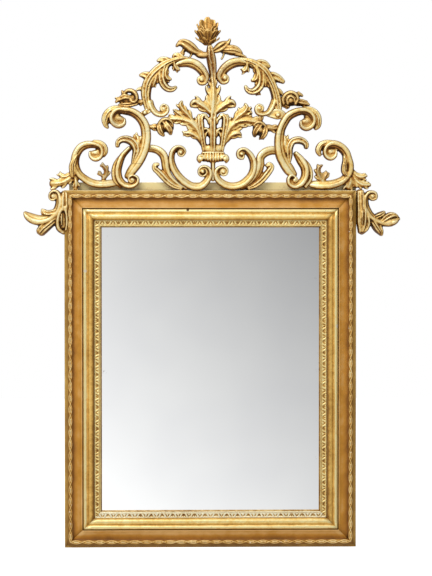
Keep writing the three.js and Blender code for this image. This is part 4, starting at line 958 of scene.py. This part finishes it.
for node, strips in CREST.items():
    strips = list(strips)
    for which, out, up in EYES.get(node, []):
        section, stations = strips[which]
        strips[which] = (section, curled_in(stations, (out, up)))
    carving(node, strips + ROLLED.get(node, []), DRAWN_ON[node.rsplit("_", 1)[1]], KNOBS.get(node, []),
            HALF_SHADED if node in ROLLED else CARVED)
for side, strips in TOP_LEAVES.items():
    carving(f"top_leaf_{side}", strips, DRAWN_ON["left"], finish=HALF_SHADED)
FLANK_EYES = {"left": (31, -18), "right": (45, -17)}
for side, strips in FLANKS.items():
    section, stations = strips[0]
    strips = [(section, curled_in(stations, FLANK_EYES[side])), *strips[1:]]
    carving(f"flank_carving_{side}", strips, FLANK_ON[side], [(*FLANK_EYES[side], 6, 40)], FLANK_GILT)


def mirrored(strips):
    return [(section, [(-out, up, width, height) for out, up, width, height in stations])
            for section, stations in strips]


carving("centre_plume", PLUME + PLUME_LEAVES + mirrored(PLUME_LEAVES), DRAWN_ON["left"])

VASE_SIDE = [
    (STEM, [(0, 116, 30, 28), (14, 116, 26, 27), (26, 119, 20, 24)]),
    (HUSK, [(23, 110, 15, 25), (26, 128, 16, 28), (29, 148, 17, 30), (32, 168, 19, 31),
        (34, 186, 20, 32), (34, 200, 18, 32), (29, 209, 13, 30), (20, 209, 9, 28), (16, 202, 7, 26)]),
    (STEM, [(36, 180, 12, 26), (41, 196, 12, 28), (42, 206, 8, 26), (39, 212, 5, 24)]),
    (STEM, [(9, 150, 10, 26), (12, 165, 10, 28), (19, 172, 9, 28), (27, 168, 10, 26)]),
    (STEM, [(10, 186, 10, 26), (14, 198, 10, 28), (22, 204, 9, 28)]),
    (STEM, [(21, 128, 6, 24), (22, 145, 6, 25), (18, 160, 7, 26), (14, 167, 6, 26)]),
]
VASE_MIDDLE = [
    (HUSK, [(0, 108, 17, 31), (0, 127, 20, 33), (0, 160, 21, 33), (0, 190, 22, 33), (0, 204, 22, 32)]),
]
carving("vase", VASE_MIDDLE + VASE_SIDE + mirrored(VASE_SIDE), DRAWN_ON["left"])

GADROONS = [(STEM, [(7.4 * k, 103, 6.5, 30 - abs(k)), (7.6 * k, 94, 8.4, 34 - 0.8 * abs(k)),
                    (7.4 * k, 84 + 0.25 * k * k, 8.6, 34 - 0.9 * abs(k)),
                    (7.0 * k, 78 + 0.35 * k * k, 5.5, 29 - abs(k))]) for k in (-3, -2, -1, 0, 1, 2, 3)]
COLLAR = [
    (STEM, [(-30, 105, 7, 27), (0, 106, 7, 29), (30, 105, 7, 27)]),
    (PLATE, [(-28, 92, 24, 22), (28, 92, 24, 22)]),
    (STEM, [(0, 86, 13, 28), (0, 52, 13, 27), (0, 28, 12, 24)]),
]
COLLAR_CURL = [(STEM, [(36, 78, 8, 28), (42, 86, 9, 31), (38, 96, 9, 32), (29, 97, 8, 33), (26, 88, 7, 33)])]
carving("vase_collar", GADROONS + COLLAR + COLLAR_CURL + mirrored(COLLAR_CURL), DRAWN_ON["left"],
        [(side * 34, 87, 7, 34) for side in (-1, 1)])


# ---------------------------------------------------------------- the flower on top

FLOWER_X = CREST_AXIS - 15
FLOWER_Y = -5
FLOWER_FOOT = 1403.3
# Each ring of petals: how many, turn, how much lower in front, and a petal's line: out, up, width, thickness.
PETAL_RINGS = [
    (6, 0.2, 0.0, [(6, 3, 9, 5), (13, 9, 14, 5), (22, 14, 15, 4), (30, 19, 11, 4), (34, 24, 4, 3)]),
    (8, 0.0, 0.0, [(6, 8, 12, 7), (14, 18, 19, 6), (22, 28, 24, 6), (30, 37, 24, 5), (35, 43, 16, 5),
                   (37, 43, 6, 4)]),
    (7, 0.35, 0.26, [(6, 14, 12, 7), (13, 30, 20, 7), (20, 44, 26, 6), (26, 56, 23, 5), (29, 63, 12, 4)]),
    (6, 0.5, 0.25, [(5, 22, 12, 7), (11, 40, 21, 7), (16, 53, 27, 6), (18, 62, 21, 5), (19, 68, 9, 4)]),
]
PETAL = [(-1, .3), (-.8, .1), (-.45, -.35), (-.12, -.1), (0, .1), (.12, -.1), (.45, -.35), (.8, .1),
         (1, .3), (.8, .75), (.45, .4), (.12, .8), (0, 1), (-.12, .8), (-.45, .4), (-.8, .75)]


def petal(bm, line):
    """One upright petal, standing out along +X from the flower's axis."""
    stations = drawn_through(line)
    points = [Vector((station[0], 0, station[1])) for station in stations]
    cuts = []
    for point, station, before, after in zip(points, stations, [points[0], *points[:-1]],
                                             [*points[1:], points[-1]]):
        run = (after - before).normalized()
        face = run.cross(Vector((0, 1, 0)))
        width = max(station[2], 2) / 2
        cuts.append(Matrix((
            (0, -face.x * station[3], run.x, point.x),
            (width, 0, 0, 0),
            (0, -face.z * station[3], run.z, point.z),
            (0, 0, 0, 1))))
    swept(bm, PETAL, cuts)


def flower():
    bm = bmesh.new()
    for count, turn, bowed, line in PETAL_RINGS:
        one = bmesh.new()
        petal(one, line)
        held = bpy.data.meshes.new("petal")
        one.to_mesh(held)
        one.free()
        for k in range(count):
            known = len(bm.verts)
            bm.from_mesh(held)
            bm.verts.ensure_lookup_table()
            angle = 2 * math.pi * k / count + turn
            tall = 1 + bowed * (math.sin(angle) - 0.2)
            bmesh.ops.transform(bm, verts=bm.verts[known:], matrix=(
                Matrix.Rotation(angle, 4, "Z") @ Matrix.Diagonal((1, 1, tall, 1))))
        bpy.data.meshes.remove(held)
    core = [(0, 0, 7), (0, 8, 8), (0, 20, 14), (0, 36, 15), (0, 44, 9)]
    edges = closed_line(bm, [Vector((core[0][2] * math.cos(turn), core[0][2] * math.sin(turn), 0))
                             for turn in np.linspace(0, 2 * math.pi, 16, endpoint=False)])
    bmesh.ops.contextual_create(bm, geom=edges)
    for (_, low, slim), (_, high, wide) in zip(core, core[1:]):
        share = wide / slim
        edges = carried_on(bm, edges, Matrix.Translation((0, 0, high)) @ Matrix.Diagonal((share, share, 1, 1))
                           @ Matrix.Translation((0, 0, -low)))
    bmesh.ops.contextual_create(bm, geom=edges)
    bmesh.ops.transform(bm, verts=bm.verts, matrix=(
        Matrix.Translation((FLOWER_X * MM, FLOWER_Y * MM, FLOWER_FOOT * MM))
        @ Matrix.Diagonal((MM, 0.62 * MM, MM, 1))))
    piece("carved_flower", gessoed(bm, "carved_flower", grain=1.3, rounds=1), SHADED,
          ["finial_flower"])


flower()


# ---------------------------------------------------------------- mitred mouldings

HALF_WIDTH = FRAME_WIDTH / 2 * MM


def beside_glass(across, up):
    """Lays a moulding's run, its way inwards and its Y along one side, by the rows for X and Z."""
    return Matrix((across, (0, 0, MM, 0), up, (0, 0, 0, 1)))


SIDES = {
    "top": beside_glass((MM, 0, 0, -HALF_WIDTH), (0, -MM, 0, FRAME_HEIGHT * MM)),
    "bottom": beside_glass((MM, 0, 0, -HALF_WIDTH), (0, MM, 0, 0)),
    "left": beside_glass((0, MM, 0, -HALF_WIDTH), (MM, 0, 0, 0)),
    "right": beside_glass((0, -MM, 0, HALF_WIDTH), (MM, 0, 0, 0)),
}


WAVER = 0.35                    # of a planed face, at most


def side_length(side):
    return FRAME_WIDTH if side in ("top", "bottom") else FRAME_HEIGHT


def mitred(name, node, side, section, cuts, shaped, finish):
    """Runs a section (in from the outer face, Y, and a hollow value that sets its painted light and shade)
    along one side, mitred, then carves it.
    """
    length = side_length(side)
    bm = bmesh.new()
    hollow = bm.verts.layers.float.new("hollow")
    verts = [bm.verts.new((inwards + GLUE_GAP / 2, inwards, y)) for inwards, y, _ in section]
    for vert, (_, _, deep) in zip(verts, section):
        vert[hollow] = deep
    edges = [bm.edges.new((a, b)) for a, b in zip(verts, verts[1:] + verts[:1])]
    bmesh.ops.contextual_create(bm, geom=edges)
    far = Matrix(((1, -2, 0, length - GLUE_GAP), (0, 1, 0, 0), (0, 0, 1, 0), (0, 0, 0, 1)))
    last = carried_on(bm, edges, far)
    bmesh.ops.contextual_create(bm, geom=last)
    ends = set(edges) | set(last)
    runs = [edge for edge in bm.edges if edge not in ends]
    bmesh.ops.subdivide_edges(bm, edges=runs, cuts=cuts, use_grid_fill=True)
    for vert in bm.verts:
        along, inwards, y = vert.co
        shift, deep = shaped(side, along, inwards, y, vert[hollow])
        vert.co.z = y + shift
        vert[hollow] = deep
    bmesh.ops.transform(bm, matrix=SIDES[side], verts=bm.verts)
    piece(f"{name}_{side}", mesh_from(bm, f"{name}_{side}"), finish, [node])


def wavering(along, inwards):
    """The slight waver of a hand-planed moulding."""
    return WAVER * (math.sin(along / 83 + inwards / 17) * 0.6 + math.sin(along / 31 + 2.1) * 0.4)


def planed(side, along, inwards, y, deep):
    """The bottom rail's cove is painted paler towards the bolection, as painted light, and the stiles' rolls
    darker, as painted shade; the planed faces waver a little.
    """
    if side == "bottom" and 30 < inwards < 49:
        deep -= 0.24 * min(1.0, (inwards - 30) / 10)
    if side in ("left", "right") and 65 < inwards < 83.3:
        deep += 0.20 + 0.20 * min(1.0, max(0.0, (inwards - 70) / 8))
    return (wavering(along, inwards) if -30 < y < -9 else 0), deep


# Sections: in from the outer face, Y, and a hollow value that sets how dark the finish is painted there:
# painted shade in the grooves and under the rolls, painted light across the middle of the cove and on the
# bolection's rolls.
RAIL = [(0, 22, .5), (0, 0, .45), (0, -11, .3), (0.6, -12.6, .2), (4.8, -16.2, .45), (9.2, -19.8, .55),
        (10, -20, .7), (22.3, -20, .7), (22.5, -19.4, .7), (22.6, -13.6, .75),
        *bowed((22.9, -13.0), (36, -13.0), (48.6, -25.6), (.74, .66, .56, .48, .42, .36, .33, .34, .34)),
        (48.6, -25.7, .2), (49.3, -25.8, .2), (49.5, -25.2, .4), (49.6, -18.2, .8), (51.9, -18, .8),
        (86, -18, .9), (86, -8, .8), (78, -8, .8), (78, 22, .5)]
MOLDING = [(52, -18.3, .8), (52.1, -23, .7), (52.5, -26.5, .45),
           *bowed((52.9, -27.5), (57.5, -35.0), (63.6, -28.6), (.35, .25, .2, .18, .2, .26, .36, .5)),
           (64.2, -28.0, .62), (65.0, -27.9, .62),
           *bowed((65.6, -28.4), (68, -34.3), (74, -34.3), (.50, .44, .42, .40, .40, .40)),
           *bowed((74, -34.3), (81.0, -34.2), (83.2, -24), (.40, .40, .41, .42, .44, .48, .54, .6, .64)),
           (83.4, -21.6, .68), (83.5, -18.3, .75)]

RIBBON = [(9.8, -20.3, .7), (9.8, -21.5, .65)]
RIBBON += [(9.8 + 12.4 * k / 12, -21.7, .5) for k in range(13)]
RIBBON += [(22.2, -21.5, .65), (22.2, -20.3, .7)]
RIBBON_TURN = 32.4              # from one crossing of the twisted ribbon to the next


def twisted_ribbon(side, along, inwards, y, deep):
    """Two strands that cross again and again, with a long bead in each opening. The beads and strands are
    painted light and the pits between them dark: painted highlight and painted shade.
    """
    if y > -21.6:
        return 0, deep
    length = side_length(side)
    turns = round(length / RIBBON_TURN)
    phase = math.pi * along * turns / length
    across = (inwards - 16) / 6.2
    swing = 0.70 * math.cos(phase)
    crown = math.sqrt(max(0.0, 1 - min(1.0, across * across)))
    first = math.exp(-((across - swing) / 0.21) ** 2)
    second = math.exp(-((across + swing) / 0.21) ** 2) * (1 - 0.35 * abs(math.sin(phase)) ** 6)
    open_share = math.cos(phase) ** 2
    bead = math.exp(-(across / 0.25) ** 2) * min(1.0, max(0.0, (open_share - 0.42) * 5))
    height = max(first, second, bead, 0.14)
    lift = (0.35 * crown + 0.65 * height) * 5.1 * (0.35 + 0.65 * crown)
    # A painted highlight on the beads, stronger on the top and right sides.
    pale = 0.16 * bead if side in ("top", "right") else 0.08 * bead
    return -lift, 1.10 - 0.84 * height * (0.7 + 0.3 * crown) - pale


SLIP = [(83.8, -18.3, .95), *[(83.8 + 12.6 * k / 12, -20.6, .5) for k in range(13)], (96.9, -20.2, .9),
        *bowed((97.2, -21.0), (99.2, -26.6), (101.3, -20.2), (.6, .3, .2, .2, .3, .5)),
        (101.4, -19.6, .8), (101.5, -13.2, .85), (103.7, -12.9, .7), (104, -12.6, .6), (104, -8, .8),
        (86.3, -8, .8), (86.3, -18.3, .8)]
LEAF_PITCH = 30.5               # of the carved leaves round the glass
LEAF_CUT = 8.4                  # between the slanting cuts on a leaf


def sight_leaves(side, along, inwards, y, deep):
    """Leaf after leaf towards the glass, each with slanting cuts to either side of its middle."""
    if not 83.7 < inwards < 96.5 or y > -20:
        return 0, deep
    length = side_length(side)
    pitch = length / round(length / LEAF_PITCH)
    share = (along / pitch) % 1.0
    across = (inwards - 83.8) / 12.6
    lean = 0.3 * math.sin(along / 47) + 0.2 * math.sin(along / 11.3 + 1)
    from_middle = abs(share - 0.5) * pitch
    cut = max(0.0, math.cos(2 * math.pi * (from_middle / LEAF_CUT - 0.75 * across + 0.25 * lean)))
    inside = min(1.0, max(0.0, across - 0.14) * 6) * min(1.0, max(0.0, 0.94 - across) * 6)
    parting = math.exp(-(min(share, 1 - share) * pitch / 1.6) ** 2)
    # Leaf faces are painted light and the cuts dark: painted highlight and painted shade.
    height = 0.82 - 0.72 * max(cut * inside, parting * inside)
    return 0.5 - 2.8 * height, 1.12 - 1.0 * height


for side in SIDES:
    rail = f"rail_{side}" if side in ("top", "bottom") else f"stile_{side}"
    mitred("cove", rail, side, RAIL, 40, planed, OCHRE)
    mitred("bolection", f"molding_{side}", side, MOLDING, 48, planed, BURNISHED)
    mitred("twisted_ribbon", f"ribbon_{side}", side, RIBBON, round(side_length(side) / 2.7), twisted_ribbon,
           WORN_GILT)
    # The bottom rail's leaf edge takes the paler copy: painted light.
    mitred("leaf_edge", f"slip_{side}", side, SLIP, round(side_length(side) / 1.65), sight_leaves,
           PALE_SIGHT if side == "bottom" else SIGHT_GILT)


# ---------------------------------------------------------------- glass, boards and ironwork

def finished(node, finish):
    """Gives a CAD solid that is right as it is its finish."""
    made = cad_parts[node]
    made.data.materials.clear()
    made.data.materials.append(finish)


finished("mirror_plate", SILVER)


def boxed_piece(name, node, bevel, finish):
    """A board or strap in the place of its plain solid, with its edges eased."""
    low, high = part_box(node)
    bm = bmesh.new()
    made = bmesh.ops.create_cube(bm, size=1)["verts"]
    bmesh.ops.scale(bm, vec=[b - a for a, b in zip(low, high)], verts=made)
    bmesh.ops.translate(bm, vec=[(a + b) / 2 for a, b in zip(low, high)], verts=made)
    bmesh.ops.bevel(bm, geom=bm.edges[:], offset=bevel, offset_type="OFFSET", segments=2, profile=0.5,
                    affect="EDGES", material=-1, clamp_overlap=True)
    piece(name, mesh_from(bm, name, smooth=False), finish, [node])


def screw_head():
    """A slotted domed head: a thin plate under two halves of a dome. It stands up along Z."""
    bm = bmesh.new()
    bmesh.ops.create_cone(bm, cap_ends=True, segments=24, radius1=0.0041, radius2=0.0038, depth=0.0008)
    for half in (-1, 1):
        dome = bmesh.ops.create_uvsphere(bm, u_segments=24, v_segments=12, radius=0.0037)["verts"]
        bmesh.ops.scale(bm, vec=(1, 1, 0.42), verts=dome)
        parts = {part for vert in dome for part in (vert, *vert.link_edges, *vert.link_faces)}
        cut = bmesh.ops.bisect_plane(bm, geom=list(parts), plane_co=(half * 0.00045, 0, 0),
                                     plane_no=(-half, 0, 0), clear_outer=True, dist=1e-7)
        rim = [part for part in cut["geom_cut"] if isinstance(part, bmesh.types.BMEdge)]
        bmesh.ops.edgeloop_fill(bm, edges=rim)
    return mesh_from(bm, "screw_head", smooth=False)


def screw_heads(bm, places):
    """Heads on a face towards the wall: X, Y, Z and the turn of the slot."""
    head = screw_head()
    for across, back, up, slot in places:
        known = len(bm.verts)
        bm.from_mesh(head)
        bm.verts.ensure_lookup_table()
        bmesh.ops.transform(bm, verts=bm.verts[known:], matrix=(
            Matrix.Translation((across, back, up)) @ Matrix.Rotation(-math.pi / 2, 4, "X")
            @ Matrix.Rotation(slot, 4, "Z")))
    bpy.data.meshes.remove(head)


STRAP_OUT = 150                 # from the crest's axis
PLATE_OUT = 369
PLATE_THICKNESS = 0.0025


def ironwork():
    """Twelve screws in the straps and the hanger plates, and the brads that hold the back boards."""
    strap_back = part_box("crest_strap_left")[1][1]
    plate_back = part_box("hanger_plate_left")[0][1] + PLATE_THICKNESS
    strap_screws = [((CREST_AXIS + side * STRAP_OUT + shift) * MM, strap_back + 0.0003, up * MM,
                    side + up / 37)
                    for side in (-1, 1) for shift, up in ((-6, 950), (6, 974), (-7, 1009), (7, 1009))]
    plate_screws = [(side * PLATE_OUT * MM, plate_back + 0.0003, up * MM, side + up / 23)
                    for side in (-1, 1) for up in (822, 850)]
    bm = bmesh.new()
    screw_heads(bm, strap_screws + plate_screws)
    piece("screw_heads", mesh_from(bm, "screw_heads", smooth=False), IRON)
    bm = bmesh.new()
    board_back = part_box("backboard_left")[1][1]
    low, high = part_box("backboard_left")[0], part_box("backboard_right")[1]
    places = [(edge, up, 0.0, side) for edge, side in ((low[0], -1), (high[0], 1))
              for up in (0.18, 0.39, 0.61, 0.83)]
    places += [(across, edge, math.pi / 2, side) for edge, side in ((low[2], -1), (high[2], 1))
               for across in (-0.22, 0.02, 0.24)]
    for across, up, turn, side in places:
        shank = bmesh.ops.create_cone(bm, cap_ends=True, segments=12, radius1=0.0011, radius2=0.0007,
                                      depth=0.015)["verts"]
        head = bmesh.ops.create_cone(bm, cap_ends=True, segments=12, radius1=0.0014, radius2=0.0018,
                                     depth=0.0012)["verts"]
        bmesh.ops.translate(bm, vec=(0, 0, 0.0078), verts=head)
        inwards = -side * 0.0078
        bmesh.ops.transform(bm, verts=shank + head, matrix=(
            Matrix.Translation((across + (0 if turn else inwards), board_back + 0.0013,
                                up + (inwards if turn else 0)))
            @ Matrix.Rotation(-side * math.pi / 2 if not turn else (0 if side < 0 else math.pi), 4, "Y")))
    piece("back_board_brads", mesh_from(bm, "back_board_brads", smooth=False), IRON)


ironwork()
boxed_piece("crest_board", "crest_base_board", 0.0012, BOARD_GILT)
for side in ("left", "right"):
    boxed_piece(f"back_board_{side}", f"backboard_{side}", 0.0010, PINE)
    boxed_piece(f"strap_{side}", f"crest_strap_{side}", 0.0008, IRON)
    finished(f"hanger_plate_{side}", IRON)
    finished(f"hanging_ring_{side}", IRON)


# ---------------------------------------------------------------- light, ground and view

WORLD_LEVEL = 0.42
FLOOR_GLOW = 0.76
GLASS_SEES = (0.028, -0.058)    # X and Z of the direction in the middle of what the glass shows
SEEN_HEIGHT = 1.613             # of the picture, at the mirror


def room():
    """White behind the mirror; what the glass sees grows darker towards its upper right corner."""
    scene = bpy.context.scene
    scene.view_settings.view_transform = "Standard"
    world = bpy.data.worlds.new("room")
    scene.world = world
    sky = Nodes(world)
    towards = sky.parts(sky.node("ShaderNodeTexCoord").outputs["Generated"])
    across = sky.span(towards["X"], -0.0096, 0.0664)
    upwards = sky.span(towards["Z"], -0.108, -0.009)
    shade = sky.sum(sky.times(across, 0.157), sky.times(upwards, 0.196))
    shade = sky.sum(shade, sky.times(sky.times(across, upwards), 0.047))
    in_glass = sky.sum(sky.sum(1.078, shade, "SUBTRACT"), 2.2, "POWER")
    sideways = sky.unsigned(sky.sum(towards["X"], GLASS_SEES[0], "SUBTRACT"))
    upright = sky.unsigned(sky.sum(towards["Z"], GLASS_SEES[1], "SUBTRACT"))
    window = sky.times(sky.span(sideways, 0.05, 0.16, 1, 0), sky.span(upright, 0.065, 0.17, 1, 0))
    window = sky.times(window, sky.span(towards["Y"], 0.0, -0.9))
    around = sky.sum(sky.times(sky.unsigned(towards["Z"]), 0.55), 0.24)
    around = sky.sum(around, sky.times(towards["X"], -0.22), clamp=True)
    glossy = sky.sum(sky.times(around, sky.sum(1.0, window, "SUBTRACT")), sky.times(in_glass, window))
    path = sky.node("ShaderNodeLightPath").outputs
    level = sky.sum(sky.times(glossy, path["Is Glossy Ray"]), path["Is Camera Ray"], "MAXIMUM")
    diffuse = sky.times(path["Is Diffuse Ray"], WORLD_LEVEL)
    level = sky.sum(level, sky.sum(diffuse, path["Is Transmission Ray"], "MAXIMUM"), "MAXIMUM")
    light = sky.tree.nodes["Background"]
    light.inputs["Color"].default_value = (1, 1, 1, 1)
    sky.put(light.inputs["Strength"], level)

    floor = bmesh.new()
    bmesh.ops.create_grid(floor, x_segments=1, y_segments=1, size=6)
    ground = placed("ground", mesh_from(floor, "ground"))
    pale = Finish("pale_ground", Base_Color=(0.9, 0.9, 0.9, 1), Roughness=0.9)
    seen = pale.node("ShaderNodeLightPath").outputs["Is Camera Ray"]
    glow = pale.node("ShaderNodeEmission", {"Strength": pale.times(seen, FLOOR_GLOW)})
    both = pale.node("ShaderNodeAddShader", {0: pale.surface.outputs[0], 1: glow.outputs[0]})
    pale.put(pale.tree.nodes["Material Output"].inputs["Surface"], both.outputs[0])
    ground.data.materials.append(pale.material)
    ground.visible_glossy = False


def aimed(made, place, aim):
    made.location = place
    made.rotation_euler = (Vector(aim) - made.location).to_track_quat("-Z", "Y").to_euler()


def lamp(name, place, size, power):
    light = bpy.data.lights.new(name, "AREA")
    light.shape = "DISK"
    light.size = size
    light.energy = power
    aimed(placed(name, light), place, (0, 0, 0.7))


def view_point():
    turn, tilt, away = math.radians(-1.75), math.radians(1.75), 8.0
    aim = Vector((0.0156, 0, 0.7264))
    eye = bpy.data.cameras.new("eye")
    eye.sensor_fit = "VERTICAL"
    eye.sensor_height = 36
    eye.lens = eye.sensor_height * away / SEEN_HEIGHT
    eye.clip_end = 60
    made = placed("eye", eye)
    aimed(made, aim + away * Vector((math.sin(turn) * math.cos(tilt), -math.cos(turn) * math.cos(tilt),
                                     math.sin(tilt))), aim)
    bpy.context.scene.camera = made


room()
lamp("window", (-1.3, -3.0, 3.6), 2.6, 104)
lamp("fill", (2.4, -4.0, 1.8), 1.8, 12)
view_point()
